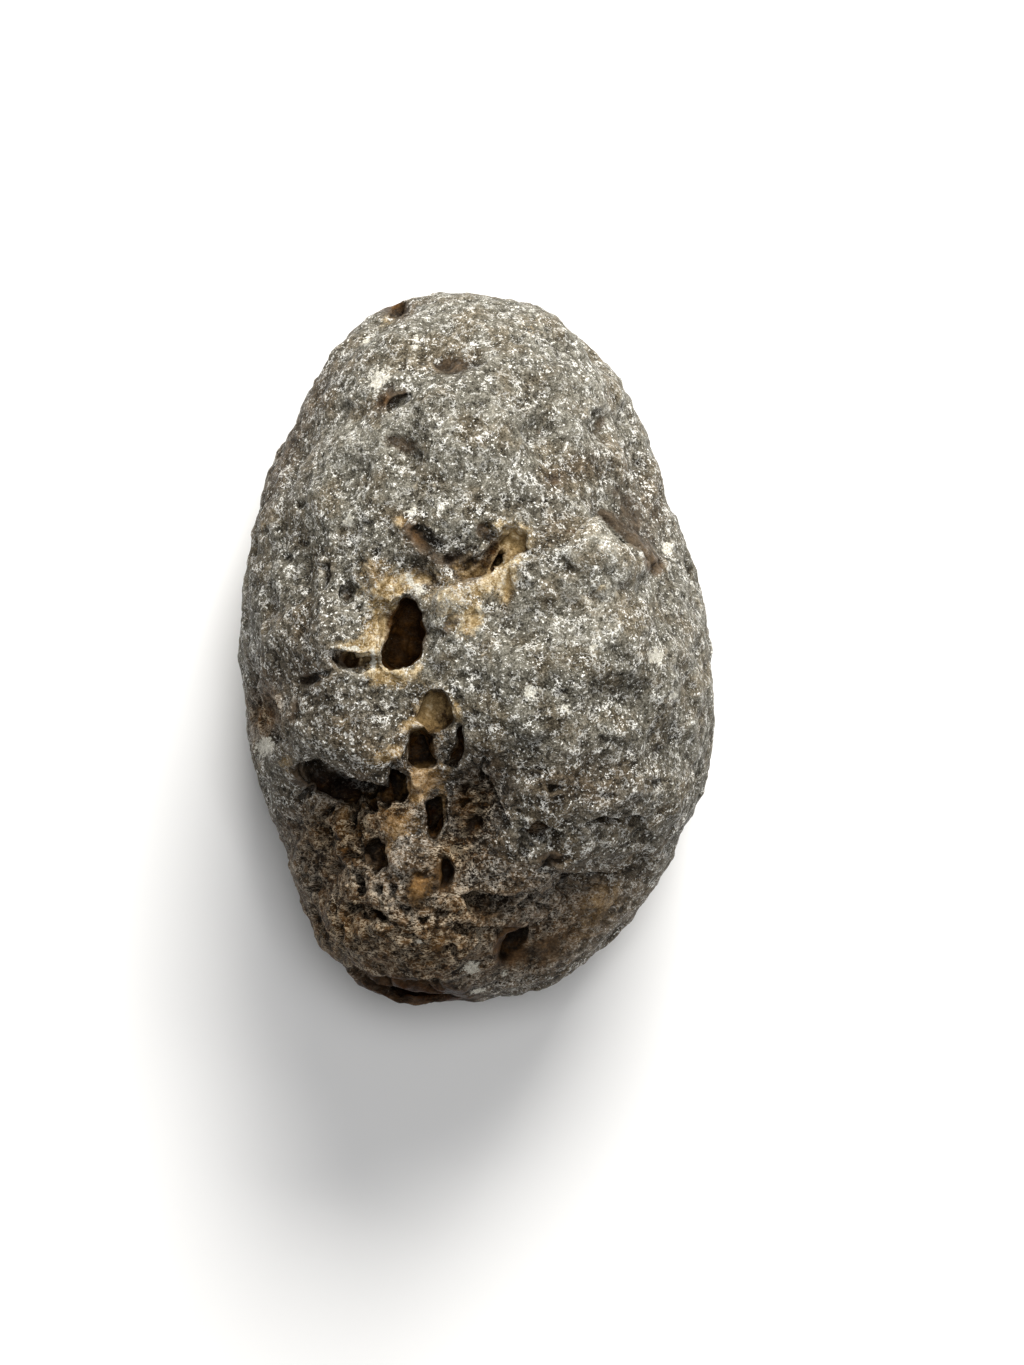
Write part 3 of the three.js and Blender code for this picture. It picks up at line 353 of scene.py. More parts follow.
# Colours of the stone. Ramp stops are (position, red, green, blue).
SKIN_SHADES = [
    (0.34, 0.014, 0.012, 0.009),
    (0.44, 0.066, 0.060, 0.046),
    (0.52, 0.128, 0.119, 0.094),
    (0.60, 0.200, 0.188, 0.153),
    (0.72, 0.380, 0.362, 0.308),
]
TAN_SHADES = [(0.36, 0.10, 0.065, 0.025), (0.5, 0.28, 0.194, 0.086), (0.68, 0.68, 0.57, 0.38)]
CREAM_SHADES = [(0.35, 0.30, 0.27, 0.20), (0.65, 0.82, 0.80, 0.72)]
BROWN_TINT = (0.44, 0.22, 0.06, 1.0)
# Painted shade: the dark brown that deep hollows and the shaded places under lips are darkened by.
SHADE_AND_DARK_GLASS_TINT = (0.34, 0.16, 0.07, 1.0)
STAINED_TAN_TINT = (0.50, 0.35, 0.21, 1.0)
RUST_TINT = (0.88, 0.80, 0.70, 1.0)
BARE_TINT = (0.5, 0.40, 0.33, 1.0)
# Painted highlights: the sparkle of the etched skin, white on the frosted skin and tan on stained glass.
GLINT = (0.93, 0.92, 0.87, 1.0)
STAINED_GLINT = (0.56, 0.44, 0.29, 1.0)

# The painted glints of the brown glass are feathery strokes: the direction in which they run, from +X,
# and how much they are drawn out along it.
GRAIN_TURN = math.radians(-55)
GRAIN_SCALE = (0.4, 1.0, 1.0)

# The finest grain, as a bump, and how much the glass shines.
GRAIN_STRENGTH = 0.9
GRAIN_HEIGHT = 0.2 * MM
GLASS_SHEEN = 0.06

# Camera, over the stone. The outline's widest level is SEEN_LEVEL above the floor.
SEEN_LEVEL = 9.2 * MM
CAMERA_HEIGHT = 1000 * MM
FRAME_HEIGHT = 76.3 * MM  # of the picture, at SEEN_LEVEL
CAMERA_OFFSET = (1.96 * MM, -1.82 * MM)
SENSOR = 36.0

# Lights, in metres and watts: name, place, size, power and colour. They point at LIT_POINT.
LIGHTS = [
    ("key light", (0.10, 0.36, 0.28), 0.28, 4.3, (1.0, 0.98, 0.94)),
    ("front light", (0.04, 0.02, 0.5), 0.16, 0.9, (1.0, 1.0, 1.0)),
]
LIT_POINT = (0, 0, 0.01)
ROOM_LIGHT = 0.2
FLOOR_SIZE = 4.0
FLOOR_COLOUR = (0.9, 0.9, 0.9, 1)


# ---- mesh helpers


def read(items, name, width, kind=float):
    """The values of one property of all items, a row for each."""
    values = np.empty(len(items) * width, dtype=kind)
    items.foreach_get(name, values)
    return values.reshape(-1, width)


def mesh_points(mesh):
    return read(mesh.vertices, "co", 3)


def mesh_normals(mesh):
    return read(mesh.vertex_normals, "vector", 3)


def set_mesh_points(mesh, points):
    mesh.vertices.foreach_set("co", points.ravel())
    mesh.update()


def store_values(mesh, name, values):
    layer = mesh.attributes.get(name) or mesh.attributes.new(name, "FLOAT", "POINT")
    layer.data.foreach_set("value", values.astype(np.float32))


class Neighbours:
    """Averages any per-vertex values over each vertex's neighbours."""

    def __init__(self, mesh):
        edges = read(mesh.edges, "vertices", 2, np.int64)
        self.source = np.concatenate([edges[:, 0], edges[:, 1]])
        self.target = np.concatenate([edges[:, 1], edges[:, 0]])
        self.vertices = len(mesh.vertices)
        self.count = np.bincount(self.target, minlength=self.vertices)

    def mean(self, values):
        if values.ndim == 1:
            total = np.bincount(self.target, values[self.source], self.vertices)
            return total / self.count
        return np.stack([self.mean(column) for column in values.T], axis=1)

    def blur(self, values, rounds):
        for _ in range(rounds):
            values = 0.5 * values + 0.5 * self.mean(values)
        return values


def new_object(name, data):
    made = bpy.data.objects.new(name, data)
    bpy.context.scene.collection.objects.link(made)
    return made


def applied(piece):
    """Replaces a piece's mesh by its evaluated one and drops the modifiers."""
    graph = bpy.context.evaluated_depsgraph_get()
    mesh = bpy.data.meshes.new_from_object(piece.evaluated_get(graph), depsgraph=graph)
    piece.modifiers.clear()
    piece.data = mesh
    return piece


def smoothstep(values, low, high):
    share = np.clip((values - low) / (high - low), 0.0, 1.0)
    return share * share * (3.0 - 2.0 * share)


def above(points, levels):
    """0 where a point is below the first of two levels, 1 where it is above the second."""
    return smoothstep(points[:, 2] / MM, *levels)


def wander(points, seed, size):
    """Smooth random values from -1 to 1 that change over about size millimetres."""
    lattice = np.random.default_rng(seed).uniform(-1.0, 1.0, (LATTICE,) * 3)
    place = points / (size * MM) + LATTICE / 2
    corner = np.floor(place).astype(int)
    share = smoothstep(place - corner, 0.0, 1.0)
    total = np.zeros(len(points))
    for step in np.ndindex(2, 2, 2):
        weight = np.prod(np.where(step, share, 1.0 - share), axis=1)
        total += weight * lattice[tuple(((corner + step) % LATTICE).T)]
    return total


# ---- the stone's shape


def stone_copy(node):
    """A new piece with the CAD node's mesh, its doubles merged and the knobs of glass added."""
    mesh = node.data.copy()
    work = bmesh.new()
    work.from_mesh(mesh)
    bmesh.ops.remove_doubles(work, verts=work.verts, dist=1e-7)
    for x, y, z, half_length, half_width, half_height, turn in GLASS_KNOBS:
        size = Matrix.Diagonal((half_length * MM, half_width * MM, half_height * MM, 1))
        place = Matrix.Translation((x * MM, y * MM, z * MM))
        turned = Matrix.Rotation(math.radians(turn), 4, "Z")
        bmesh.ops.create_icosphere(work, subdivisions=3, radius=1, matrix=place @ turned @ size)
    work.to_mesh(mesh)
    work.free()
    mesh.materials.clear()
    return new_object("tektite_stone", mesh)


def divide_finely(piece):
    """Replaces the mesh by an even, closed one of small cells, with the knobs grown on."""
    fine = piece.modifiers.new("fine", "REMESH")
    fine.mode = "VOXEL"
    fine.voxel_size = FINE_CELL
    fine.adaptivity = 0.0
    return applied(piece)


def relax_facets(piece):
    """Melts the facets together and leaves the edges of the hollows crisp."""
    mesh = piece.data
    around = Neighbours(mesh)
    points = mesh_points(mesh)
    normals = mesh_normals(mesh)
    turning = 1.0 - np.einsum("ij,ij->i", normals, around.blur(normals, CREASE_ROUNDS[0]))
    crease = np.clip((turning - CREASE_START) / CREASE_SPAN, 0.0, 1.0)
    share = (1.0 - CRISPNESS * around.blur(crease, CREASE_ROUNDS[1]))[:, None]
    for _ in range(RELAX_ROUNDS):
        points = points + 0.5 * share * (around.mean(points) - points)
    set_mesh_points(mesh, points)


def free_share(mesh):
    """How far each point may stray: fully on the face, less in the outline, not at all at the foot."""
    upward = smoothstep(np.abs(mesh_normals(mesh)[:, 2]), *STRAYING_FACING)
    return (EDGE_SHARE + (1.0 - EDGE_SHARE) * upward) * above(mesh_points(mesh), FOOT_LEVELS)


def loosen(piece):
    """Lets every clean rim and wall stray a little from its drawn line."""
    points = mesh_points(piece.data)
    free = above(points, FOOT_LEVELS)
    free *= 1.0 + RAGGED_GAIN * patch_values(piece.data, RAGGED)
    for seed, size, reach in WANDERINGS:
        stray = [wander(points, seed + axis, size) for axis in range(3)]
        points = points + np.stack(stray, axis=1) * (reach * MM * free)[:, None]
    set_mesh_points(piece.data, points)


def melt_places(piece):
    """Lets the surface flow together where the glass has melted smooth."""
    mesh = piece.data
    around = Neighbours(mesh)
    points = mesh_points(mesh)
    share = 0.5 * patch_values(mesh, MELTED)
    soft = np.flatnonzero(share > 0.01)
    for _ in range(MELTING_ROUNDS):
        points[soft] += share[soft, None] * (around.mean(points)[soft] - points[soft])
    set_mesh_points(mesh, points)


def across(points, x, y, turn):
    """Distances of points from a place, along and across a turned direction, in millimetres."""
    angle = math.radians(turn)
    dx, dy = points[:, 0] / MM - x, points[:, 1] / MM - y
    return dx * math.cos(angle) + dy * math.sin(angle), dy * math.cos(angle) - dx * math.sin(angle)


def nearness(points, x, y, half_length, half_width, turn):
    """1 at a place, falling softly to 0 beyond its half-length and half-width."""
    along, sideways = across(points, x, y, turn)
    return np.exp(-((along / half_length) ** 2 + (sideways / half_width) ** 2))


def small_hollow_depth(points, hollow, number):
    """Depth of one small hollow with an uneven rim, at every point."""
    x, y, half_length, half_width, turn, depth = hollow
    along, sideways = across(points, x, y, turn)
    u, v = along / half_length, sideways / half_width
    angle = np.arctan2(v, u)
    uneven = 1.0 + 0.16 * np.sin(3 * angle + number) + 0.1 * np.sin(5 * angle + 2.3 * number)
    return depth * smoothstep(np.hypot(u, v) * uneven, 1.2, 0.3)


def along_path(points, path):
    """Distance of points from a path, the side they lie on, and how far along it they are."""
    place = points[:, :2] / MM
    nearest = np.full(len(points), np.inf)
    side = np.zeros(len(points))
    share = np.zeros(len(points))
    for number, (start, end) in enumerate(zip(path, path[1:])):
        start, step = np.array(start), np.subtract(end, start)
        reach = np.clip((place - start) @ step / (step @ step), 0.0, 1.0)
        away = place - start - reach[:, None] * step
        distance = np.hypot(away[:, 0], away[:, 1])
        closer = distance < nearest
        nearest = np.where(closer, distance, nearest)
        side = np.where(closer, np.sign(away[:, 0] * step[1] - away[:, 1] * step[0]), side)
        share = np.where(closer, (number + reach) / (len(path) - 1), share)
    return nearest, side, share


def ledge_drop(points, path, drop, run):
    """How far a ledge lowers every point: sharp at its path, fading away to the right of it."""
    nearest, side, share = along_path(points, path)
    ends = smoothstep(share, 0.0, 0.15) * smoothstep(share, 1.0, 0.85)
    fall = smoothstep(nearest * side, -0.08, 0.12) * np.exp(-((nearest / run) ** 2))
    return drop * ends * fall


def thread_height(points, path, height):
    """How far a thread of glass raises every point: it thins out and breaks up along its path."""
    nearest, _, share = along_path(points, path)
    ends = smoothstep(share, 0.0, 0.2) * smoothstep(share, 1.0, 0.8)
    broken = 0.75 + 0.5 * wander(points, *THREAD_BREAKS)
    return height * ends * broken * np.exp(-((nearest / THREAD_WIDTH) ** 2))


def patch_values(mesh, patches):
    """Strength of soft-edged patches at every point of the pitted face, from 0 to 1."""
    points = mesh_points(mesh)
    left_out = np.ones(len(points))
    for *place, strength in patches:
        left_out *= 1.0 - strength * nearness(points, *place)
    return (1.0 - left_out) * above(points, PATCH_LEVELS)


def carved_depth(points):
    """How deep the small forms of the pitted face lie below every point, in millimetres."""
    depth = np.zeros(len(points))
    for number, hollow in enumerate(SMALL_HOLLOWS):
        depth = np.maximum(depth, small_hollow_depth(points, hollow, number))
    for *place, sink in BROAD_DIPS:
        depth += sink * nearness(points, *place)
    for drop, run, path in LEDGES:
        depth += ledge_drop(points, path, drop, run)
    for height, path in THREADS:
        depth -= thread_height(points, path, height)
    return depth


def carve_face(piece):
    """Cuts the small forms into the pitted face, along its broad slope."""
    mesh = piece.data
    points = mesh_points(mesh)
    normals = Neighbours(mesh).blur(mesh_normals(mesh), SLOPE_ROUNDS)
    normals /= np.linalg.norm(normals, axis=1)[:, None]
    seed, size, reach = FACE_WANDERING
    strayed = points.copy()
    for axis in range(2):
        strayed[:, axis] += reach * MM * wander(points, seed + axis, size)
    share = above(points, CARVED_LEVELS) * smoothstep(normals[:, 2], *CARVED_FACING)
    set_mesh_points(mesh, points - normals * (carved_depth(strayed) * share * MM)[:, None])


def thin_out(piece):
    """Brings the number of triangles down to the most that is allowed."""
    triangles = sum(len(polygon.vertices) - 2 for polygon in piece.data.polygons)
    if triangles <= MOST_TRIANGLES:
        return piece
    thin = piece.modifiers.new("thin", "DECIMATE")
    thin.ratio = MOST_TRIANGLES / triangles
    thin.use_collapse_triangulate = True
    return applied(piece)


def keep_off_floor(piece):
    """Lifts whatever the etching has pushed below the floor back onto it."""
    points = mesh_points(piece.data)
    points[:, 2] = np.maximum(points[:, 2], 0.0)
    set_mesh_points(piece.data, points)


# ---- node trees


class Tree:
    """Short words for building a node tree."""

    def __init__(self, tree):
        self.tree = tree

    def node(self, kind, inputs=None, **settings):
        made = self.tree.nodes.new(kind)
        for name, value in settings.items():
            setattr(made, name, value)
        for name, value in (inputs or {}).items():
            self.set(made.inputs[name], value)
        return made

    def set(self, socket, value):
        if isinstance(value, bpy.types.NodeSocket):
            self.tree.links.new(value, socket)
        elif isinstance(value, bpy.types.Node):
            self.tree.links.new(value.outputs[0], socket)
        else:
            socket.default_value = value

    def math(self, operation, *values):
        return self.node("ShaderNodeMath", dict(enumerate(values)), operation=operation).outputs[0]

    def plus(self, one, other):
        return self.math("ADD", one, other)

    def times(self, one, other):
        return self.math("MULTIPLY", one, other)

    def most(self, one, other):
        return self.math("MAXIMUM", one, other)

    def vector(self, operation, *values):
        return self.node("ShaderNodeVectorMath", dict(enumerate(values)), operation=operation)

    def centred(self, value, reach):
        """A value between 0 and 1, brought around 0."""
        return self.times(self.math("SUBTRACT", value, 0.5), reach)

    def crossings(self, noise, inner, outer):
        """Thin lines where a noise crosses its middle."""
        return self.ramp(self.math("ABSOLUTE", self.centred(noise, 1.0)), inner, outer, 1.0, 0.0)

    def scaled(self, vector, factor):
        made = self.vector("SCALE", vector)
        self.set(made.inputs["Scale"], factor)
        return made.outputs[0]

    def ramp(self, value, low, high, to_low=0.0, to_high=1.0):
        """Rises or falls softly from to_low, where the value is low, to to_high, where it is high."""
        inputs = {0: value, 1: low, 2: high, 3: to_low, 4: to_high}
        return self.node("ShaderNodeMapRange", inputs, interpolation_type="SMOOTHSTEP").outputs[0]

    def shades(self, value, stops):
        """Colours along a ramp: (position, red, green, blue) in rising order."""
        made = self.node("ShaderNodeValToRGB", {0: value})
        elements = made.color_ramp.elements
        while len(elements) < len(stops):
            elements.new(0.5)
        for element, (position, *colour) in zip(elements, stops):
            element.position = position
            element.color = (*colour, 1.0)
        return made.outputs[0]

    def mix(self, share, low, high, blend="MIX"):
        made = self.node("ShaderNodeMix", data_type="RGBA", blend_type=blend)
        for socket, value in zip((0, 6, 7), (share, low, high)):
            self.set(made.inputs[socket], value)
        return made.outputs[2]


class EtchingTree(Tree):
    """The parts of the etched skin. Their sizes, their depths and the seed are sockets."""

    def __init__(self, tree):
        super().__init__(tree)
        self.given = self.node("NodeGroupInput").outputs
        self.place = self.scaled(self.node("GeometryNodeInputPosition"), 1 / MM)

    def noise(self, size, detail, seed_step, rough=0.55):
        scale = self.math("DIVIDE", 1.0, size)
        inputs = {"Vector": self.place, "Scale": scale, "Detail": detail, "Roughness": rough}
        made = self.node("ShaderNodeTexNoise", inputs, noise_dimensions="4D")
        self.set(made.inputs["W"], self.plus(self.given["Seed"], seed_step))
        return made.outputs[0]

    def uneven(self, name, detail, seed_step, rough):
        """Heights that swell and sink around 0."""
        noise = self.noise(self.given[name + " Size"], detail, seed_step, rough)
        return self.centred(noise, self.times(self.given[name + " Depth"], 2.0))

    def cells(self, size, seed_step, warp):
        """Cells whose borders are bent by a noise."""
        scale = self.math("DIVIDE", 1.0, size)
        shift = self.node("ShaderNodeTexNoise", {"Vector": self.place, "Scale": scale, "Detail": 1.0})
        bent = self.vector("MULTIPLY_ADD", shift.outputs["Color"], (warp,) * 3, self.place).outputs[0]
        inputs = {"Vector": bent, "Scale": scale}
        made = self.node("ShaderNodeTexVoronoi", inputs, voronoi_dimensions="4D", feature="F1")
        self.set(made.inputs["W"], self.plus(self.given["Seed"], seed_step))
        return made.outputs

    def dished(self, name, seed_step, warp, share=None):
        """Round-bottomed dents, in every cell or in a share of the cells."""
        cells = self.cells(self.given[name + " Size"], seed_step, warp)
        dish = self.ramp(cells["Distance"], 0.05, 0.62, 1.0, 0.0)
        if share is not None:
            picked = self.node("FunctionNodeSeparateColor", {0: cells["Color"]}).outputs[0]
            dish = self.times(dish, self.math("LESS_THAN", picked, share))
        return self.times(dish, self.given[name + " Depth"])

    def threads(self):
        lines = self.crossings(self.noise(self.given["Web Size"], 3.0, 7.0), 0.0, 0.035)
        return self.times(lines, self.given["Web Height"])

    def height(self):
        """Height of the whole etching, in millimetres."""
        patches = self.ramp(self.noise(4.0, 2.0, 9.0), 0.35, 0.65, 0.35, 1.3)
        pits = self.dished("Pit", 2.0, 0.7, self.given["Pit Share"])
        pitted = self.times(self.plus(pits, self.dished("Chip", 1.0, 1.4)), patches)
        raised = self.plus(self.threads(), self.uneven("Swell", 2.0, 6.0, 0.5))
        raised = self.plus(raised, self.uneven("Grain", 4.0, 5.0, 0.7))
        rugged = self.node("GeometryNodeInputNamedAttribute", {"Name": "ruggedness"}, data_type="FLOAT")
        return self.times(self.math("SUBTRACT", raised, pitted), rugged.outputs["Attribute"])


def etching_group():
    """Swells, chips, pits, threads and grain, as strong at each point as its ruggedness says."""
    group = bpy.data.node_groups.new("etched skin", "GeometryNodeTree")
    sockets = group.interface
    sockets.new_socket("Geometry", in_out="OUTPUT", socket_type="NodeSocketGeometry")
    kinds = {"Geometry": "Geometry", "Material": "Material", **dict.fromkeys(ETCHING, "Float")}
    for name, kind in kinds.items():
        sockets.new_socket(name, in_out="INPUT", socket_type="NodeSocket" + kind)
    tree = EtchingTree(group)
    offset = tree.scaled(tree.node("GeometryNodeInputNormal"), tree.times(tree.height(), MM))
    skin = {"Geometry": tree.given["Geometry"], "Offset": offset}
    moved = tree.node("GeometryNodeSetPosition", skin)
    smooth = tree.node("GeometryNodeSetShadeSmooth", {"Geometry": moved})
    whole = tree.node("GeometryNodeRealizeInstances", {"Geometry": smooth})
    finish = {"Geometry": whole, "Material": tree.given["Material"]}
    tree.node("NodeGroupOutput", {"Geometry": tree.node("GeometryNodeSetMaterial", finish)})
    return group


def etch_skin(piece, material):
    """Etches the skin with the node tree, and gives it its material."""
    mesh = piece.data
    rugged = PLAIN_SHARE + STRONG_GAIN * patch_values(mesh, STRONG_ETCHING)
    rugged *= 1.0 - WEAK_LOSS * patch_values(mesh, WEAK_ETCHING)
    store_values(mesh, "ruggedness", rugged * free_share(mesh))
    etched = piece.modifiers.new("etched", "NODES")
    etched.node_group = etching_group()
    sockets = etched.node_group.interface.items_tree
    by_name = {item.name: item.identifier for item in sockets if item.in_out == "INPUT"}
    etched[by_name["Material"]] = material
    for name, value in ETCHING.items():
        etched[by_name[name]] = value
    return applied(piece)


def widened(heights, steps):
    """Every cell of a height map takes the greatest height up to steps cells away."""
    for _ in range(steps):
        for axis in range(2):
            beside = np.maximum(np.roll(heights, 1, axis), np.roll(heights, -1, axis))
            heights = np.maximum(heights, beside)
    return heights


def softened(heights, rounds):
    """Every cell of a height map takes the mean of itself and the cells beside it, over and over."""
    for _ in range(rounds):
        beside = [np.roll(heights, step, axis) for step in (1, -1) for axis in range(2)]
        heights = (heights + sum(beside)) / 5.0
    return heights


def sunk_depth(points):
    """How far each point of the pitted face lies below a skin that spans its hollows, in millimetres."""
    cells = tuple(((points[:, :2] + MAP_REACH) / MAP_CELL).astype(int).T)
    heights = np.zeros((int(2 * MAP_REACH / MAP_CELL),) * 2)
    np.maximum.at(heights, cells, points[:, 2] / MM)
    spanned = softened(-widened(-widened(heights, MAP_STEPS), MAP_STEPS), MAP_STEPS)
    slope = np.hypot(*np.gradient(spanned, MAP_CELL / MM))
    share = smoothstep(slope, *STEEP_SLOPES) / np.hypot(1.0, slope)
    sunk = (spanned[cells] - points[:, 2] / MM) * share[cells]
    return sunk * above(points, SUNK_LEVELS)


def read_relief(piece):
    """Stores what the material needs at each point: its relief and the strength of each patch.

    The relief is how far a point lies above its close surroundings (rim) and below its wide ones or
    the skin that spans its hollow (hollow), in millimetres.
    """
    mesh = piece.data
    around = Neighbours(mesh)
    points = mesh_points(mesh)
    normals = mesh_normals(mesh)
    close = around.blur(points, CLOSE_ROUNDS)
    wide = around.blur(close, WIDE_ROUNDS)
    store_values(mesh, "rim", np.einsum("ij,ij->i", points - close, normals) / MM)
    broad = around.blur(normals, FACING_ROUNDS)
    dented = np.einsum("ij,ij->i", wide - points, broad) / MM
    store_values(mesh, "hollow", np.maximum(dented, around.blur(sunk_depth(points), SUNK_ROUNDS)))
    facing_up = smoothstep(around.blur(broad, LYING_ROUNDS)[:, 2], *MINERAL_FACING)
    for name, patches in PATCHES.items():
        share = facing_up if "mineral" in name else 1.0
        store_values(mesh, name, patch_values(mesh, patches) * share)


# ---- materials


class GlassTree(Tree):
    """The colours of the etched glass, and the values that several of them share."""

    def __init__(self, tree):
        super().__init__(tree)
        self.place = self.scaled(self.node("ShaderNodeTexCoord").outputs["Object"], 1 / MM)
        self.rim = self.stored("rim")
        self.hollow = self.stored("hollow")
        self.grain = self.noise(0.34, 5.0, 0.75)
        self.sugar = self.noise(0.11, 3.0, 0.75)
        bare = self.plus(self.stored("bare glass"), self.centred(self.noise(0.7, 4.0, 0.65), 0.9))
        self.bare = self.most(self.ramp(bare, 0.3, 0.6), self.ramp(self.hollow, 0.7, 1.4))
        self.brown = self.stored("brown glass")
        stained = self.times(self.brown, self.ramp(self.noise(1.1, 4.0), 0.25, 0.6, 0.9, 1.0))
        self.stained = self.most(stained, self.ramp(self.hollow, 0.45, 1.2))
        self.mostly_stained = self.ramp(self.stained, 0.3, 1.0)
        # Painted shade: dark brown in the deepest hollows and in the patches of dark glass and shade.
        self.deep = self.most(self.stored("dark glass and painted shade"), self.ramp(self.hollow, 2.0, 4.2, 0.0, 0.4))
        tan = self.plus(self.stored("tan mineral"), self.centred(self.noise(0.45, 5.0, 0.8), 1.5))
        self.tan = self.times(self.ramp(tan, 0.25, 0.75), self.less(self.deep, 0.7))

    def noise(self, size, detail=2.0, rough=0.6, where=None):
        vector = self.place if where is None else where
        inputs = {"Vector": vector, "Scale": 1 / size, "Detail": detail, "Roughness": rough}
        return self.node("ShaderNodeTexNoise", inputs).outputs[0]

    def stored(self, name):
        return self.node("ShaderNodeAttribute", attribute_name=name).outputs["Fac"]

    def less(self, value, share):
        """1 where a value is 0, and less by share where it is 1."""
        return self.math("MULTIPLY_ADD", value, -share, 1.0)

    def tinted(self, share, colour, tint):
        """A colour, multiplied by a tint where share is 1."""
        return self.mix(share, colour, self.mix(1.0, colour, tint, "MULTIPLY"))

    def strokes(self, where, size, width, low, high):
        """Short curved lines: where one noise crosses its middle and another is high."""
        lines = self.crossings(self.noise(size, where=where), 0.4 * width, width)
        return self.times(lines, self.ramp(self.noise(2.3 * size, where=where), low, high))

    def tone(self):
        """How light the skin is, around 0.5: calm on bare glass and blotched on brown glass, with painted
        highlights on small rims and painted shade in pits and hollows.
        """
        speckle = self.plus(self.centred(self.sugar, 0.8), self.centred(self.grain, 0.45))
        speckle = self.times(speckle, self.less(self.bare, 0.5))
        mottle = self.centred(self.noise(2.6, 3.0, 0.6), 0.14)
        tone = self.plus(self.plus(speckle, 0.5), mottle)
        # Painted light and shade from the relief: lighter on small rims, darker in small pits.
        tone = self.plus(tone, self.ramp(self.rim, -0.06, 0.06, -0.08, 0.08))
        blots = self.ramp(self.noise(1.1, 4.0, 0.65), 0.35, 0.62, -0.19, 0.0)
        tone = self.math("MULTIPLY_ADD", self.brown, blots, tone)
        # Painted shade: brown glass darker in its hollows.
        tone = self.math("MULTIPLY_ADD", self.brown, self.ramp(self.hollow, 0.1, 0.9, 0.05, -0.07), tone)
        # Lighter where these patches lie: frosted skin, and painted light where they lie on shaded places.
        return self.math("MULTIPLY_ADD", self.stored("frosted"), 0.08, tone)

    def glass(self, tone):
        """Colour of the glass: frosted, stained or bare, and darkened by painted shade in deep hollows and
        under lips.
        """
        skin = self.shades(tone, SKIN_SHADES)
        skin = self.tinted(self.ramp(self.noise(2.2, 4.0, 0.6), 0.45, 0.62), skin, RUST_TINT)
        skin = self.tinted(self.stained, skin, BROWN_TINT)
        unstained = self.times(self.bare, self.less(self.stained, 0.85))
        skin = self.tinted(unstained, skin, BARE_TINT)
        # Painted shade in deep hollows and under lips, over darker glass.
        return self.tinted(self.deep, skin, SHADE_AND_DARK_GLASS_TINT)

    def with_mineral(self, skin, tone):
        """Tan and cream mineral over the glass."""
        calmer = self.plus(self.centred(self.grain, 0.3), 0.52)
        calmer = self.plus(self.centred(tone, 0.75), calmer)
        tan = self.tinted(self.brown, self.shades(calmer, TAN_SHADES), STAINED_TAN_TINT)
        skin = self.mix(self.tan, skin, tan)
        cream = self.plus(self.stored("cream mineral"), self.centred(self.noise(0.4, 5.0, 0.8), 2.4))
        return self.mix(self.ramp(cream, 0.4, 0.6), skin, self.shades(self.sugar, CREAM_SHADES))

    # Painted glints as fine strokes.
    def fine_glint_strokes(self, clusters):
        strokes = self.strokes(self.place, 0.26, 0.06, 0.5, 0.58)
        strokes = self.times(strokes, self.ramp(clusters, 0.45, 0.65, 0.3, 0.85))
        return self.times(strokes, self.less(self.mostly_stained, 0.5))

    # Painted glints as small specks.
    def glint_flecks(self, clusters):
        crowded = self.ramp(clusters, 0.42, 0.72, 0.01, 0.075)
        glint_flecks = self.ramp(self.plus(self.noise(0.17, 3.0, 0.65), crowded), 0.64, 0.7)
        return self.times(glint_flecks, self.less(self.mostly_stained, 0.7))

    def glint_feathers(self):
        """Painted glints on the raised parts of stained glass, as strokes all drawn out one way."""
        inputs = {"Vector": self.place, "Rotation": (0, 0, GRAIN_TURN), "Scale": GRAIN_SCALE}
        strokes = self.strokes(self.node("ShaderNodeMapping", inputs), 0.17, 0.07, 0.43, 0.53)
        strokes = self.times(strokes, self.ramp(self.rim, -0.01, 0.04, 0.35, 1.0))
        return self.times(strokes, self.times(self.mostly_stained, 0.85))

    def with_glints(self, skin):
        """Painted glints: white specks and strokes over the skin, hardly any of them on bare glass and in
        the painted shade.
        """
        clusters = self.plus(self.noise(1.0, 4.0, 0.7), self.ramp(self.rim, 0.0, 0.06, 0.0, 0.1))
        glints = self.most(self.glint_feathers(), self.most(self.fine_glint_strokes(clusters), self.glint_flecks(clusters)))
        covered = self.most(self.times(self.deep, 0.9), self.times(self.bare, 0.93))
        covered = self.most(covered, self.times(self.tan, 0.5))
        glints = self.times(glints, self.math("SUBTRACT", 1.0, covered))
        return self.mix(glints, skin, self.mix(self.mostly_stained, GLINT, STAINED_GLINT))

    def bump(self):
        """Grain too fine for the mesh, calmer on bare glass."""
        height = self.math("MULTIPLY_ADD", self.sugar, 0.5, self.grain)
        height = self.times(height, self.less(self.bare, 0.5))
        inputs = {"Height": height, "Strength": GRAIN_STRENGTH, "Distance": GRAIN_HEIGHT}
        return self.node("ShaderNodeBump", inputs)


def new_material(name):
    """A material, and the inputs of its shader."""
    material = bpy.data.materials.new(name)
    material.use_nodes = True
    return material, material.node_tree.nodes["Principled BSDF"].inputs


def etched_glass():
    """Dark glass under a frosted, sugary skin, with mineral in its hollows, painted glints, and painted
    light and shade.
    """
    material, shader = new_material("etched glass")
    tree = GlassTree(material.node_tree)
    tone = tree.tone()
    skin = tree.with_mineral(tree.glass(tone), tone)
    tree.set(shader["Base Color"], tree.with_glints(skin))
    glossy = tree.math("MULTIPLY_ADD", tree.bare, -0.2, 0.55)
    tree.set(shader["Roughness"], tree.plus(glossy, tree.centred(tree.sugar, 0.5)))
    tree.set(shader["Normal"], tree.bump())
    shader["Specular IOR Level"].default_value = GLASS_SHEEN
    return material


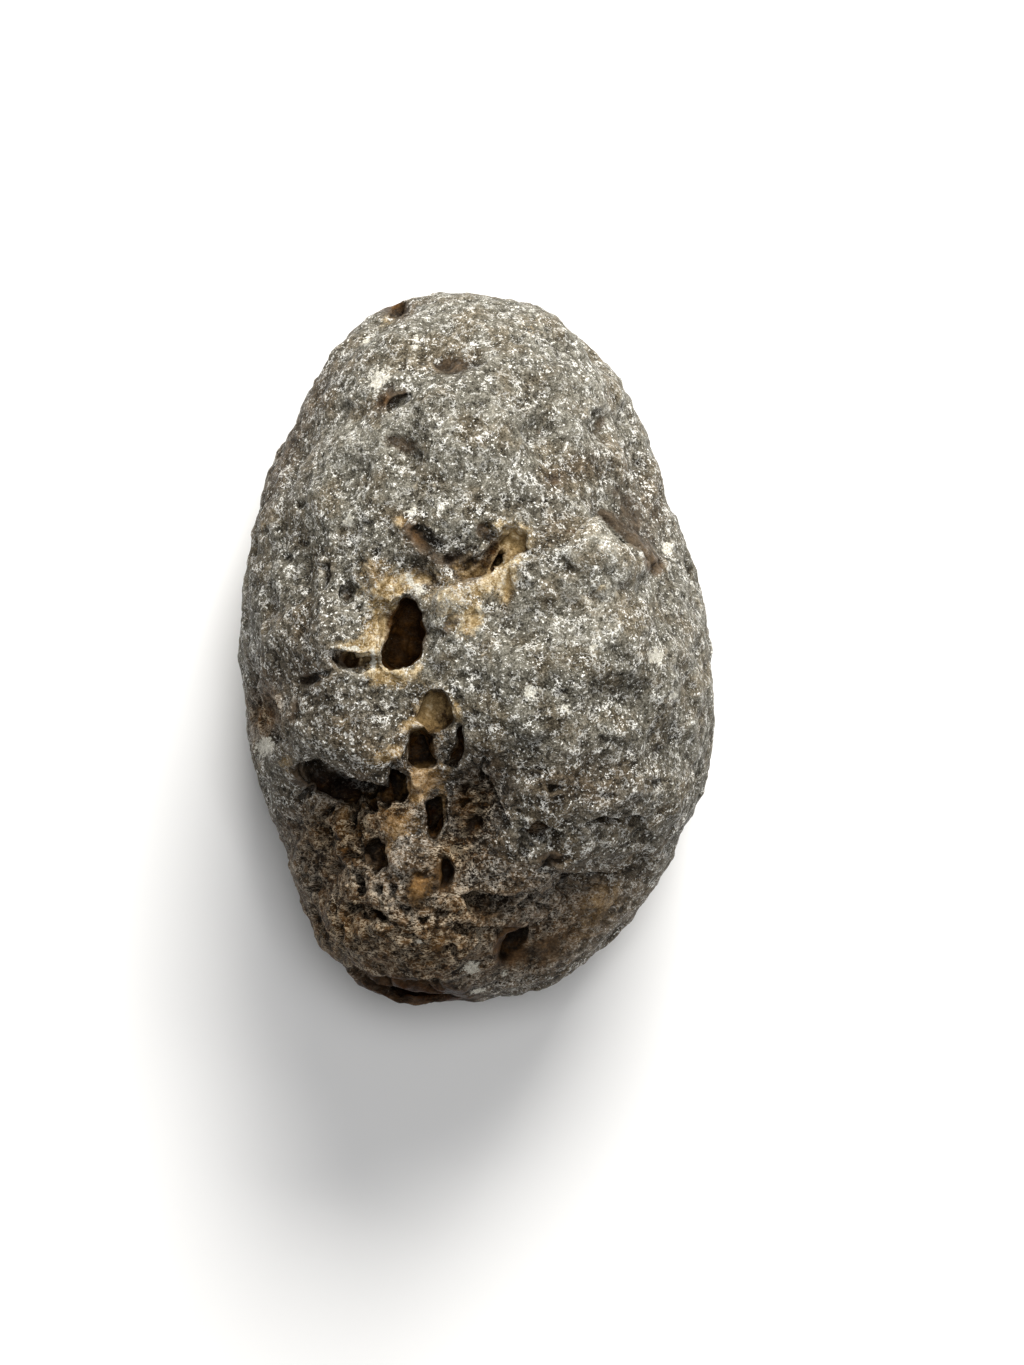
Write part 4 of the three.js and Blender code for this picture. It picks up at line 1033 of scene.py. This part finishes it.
def pale_floor_material():
    material, shader = new_material("pale floor")
    shader["Base Color"].default_value = FLOOR_COLOUR
    shader["Roughness"].default_value = 0.9
    return material


# ---- studio


def add_floor():
    bpy.ops.mesh.primitive_plane_add(size=FLOOR_SIZE)
    floor = bpy.context.object
    floor.name = "pale_floor"
    floor.data.materials.append(pale_floor_material())


def add_light(name, place, size, power, colour):
    data = bpy.data.lights.new(name, "AREA")
    data.energy = power
    data.size = size
    data.color = colour
    light = new_object(name, data)
    light.location = place
    light.rotation_euler = (Vector(LIT_POINT) - light.location).to_track_quat("-Z", "Y").to_euler()


def add_studio():
    world = bpy.data.worlds.new("studio")
    bpy.context.scene.world = world
    world.use_nodes = True
    background = world.node_tree.nodes["Background"].inputs
    background["Color"].default_value = (1, 1, 1, 1)
    background["Strength"].default_value = ROOM_LIGHT
    for light in LIGHTS:
        add_light(*light)
    bpy.context.scene.view_settings.view_transform = "Standard"


def add_camera():
    data = bpy.data.cameras.new("camera")
    data.sensor_width = SENSOR
    data.lens = SENSOR * CAMERA_HEIGHT / FRAME_HEIGHT
    data.clip_start = 0.01
    camera = new_object("camera", data)
    camera.location = (*CAMERA_OFFSET, SEEN_LEVEL + CAMERA_HEIGHT)
    bpy.context.scene.camera = camera


# ---- the scene

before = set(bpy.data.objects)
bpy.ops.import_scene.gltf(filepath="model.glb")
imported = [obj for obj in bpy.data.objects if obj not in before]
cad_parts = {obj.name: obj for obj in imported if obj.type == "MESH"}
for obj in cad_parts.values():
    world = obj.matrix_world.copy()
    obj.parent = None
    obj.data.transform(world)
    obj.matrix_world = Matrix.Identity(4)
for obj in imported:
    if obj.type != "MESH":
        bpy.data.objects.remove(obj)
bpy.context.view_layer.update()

stone = stone_copy(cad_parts["tektite"])
divide_finely(stone)
relax_facets(stone)
melt_places(stone)
loosen(stone)
carve_face(stone)
etch_skin(stone, etched_glass())
thin_out(stone)
keep_off_floor(stone)
read_relief(stone)
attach(stone, "root")
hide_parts("tektite")

add_floor()
add_studio()
add_camera()
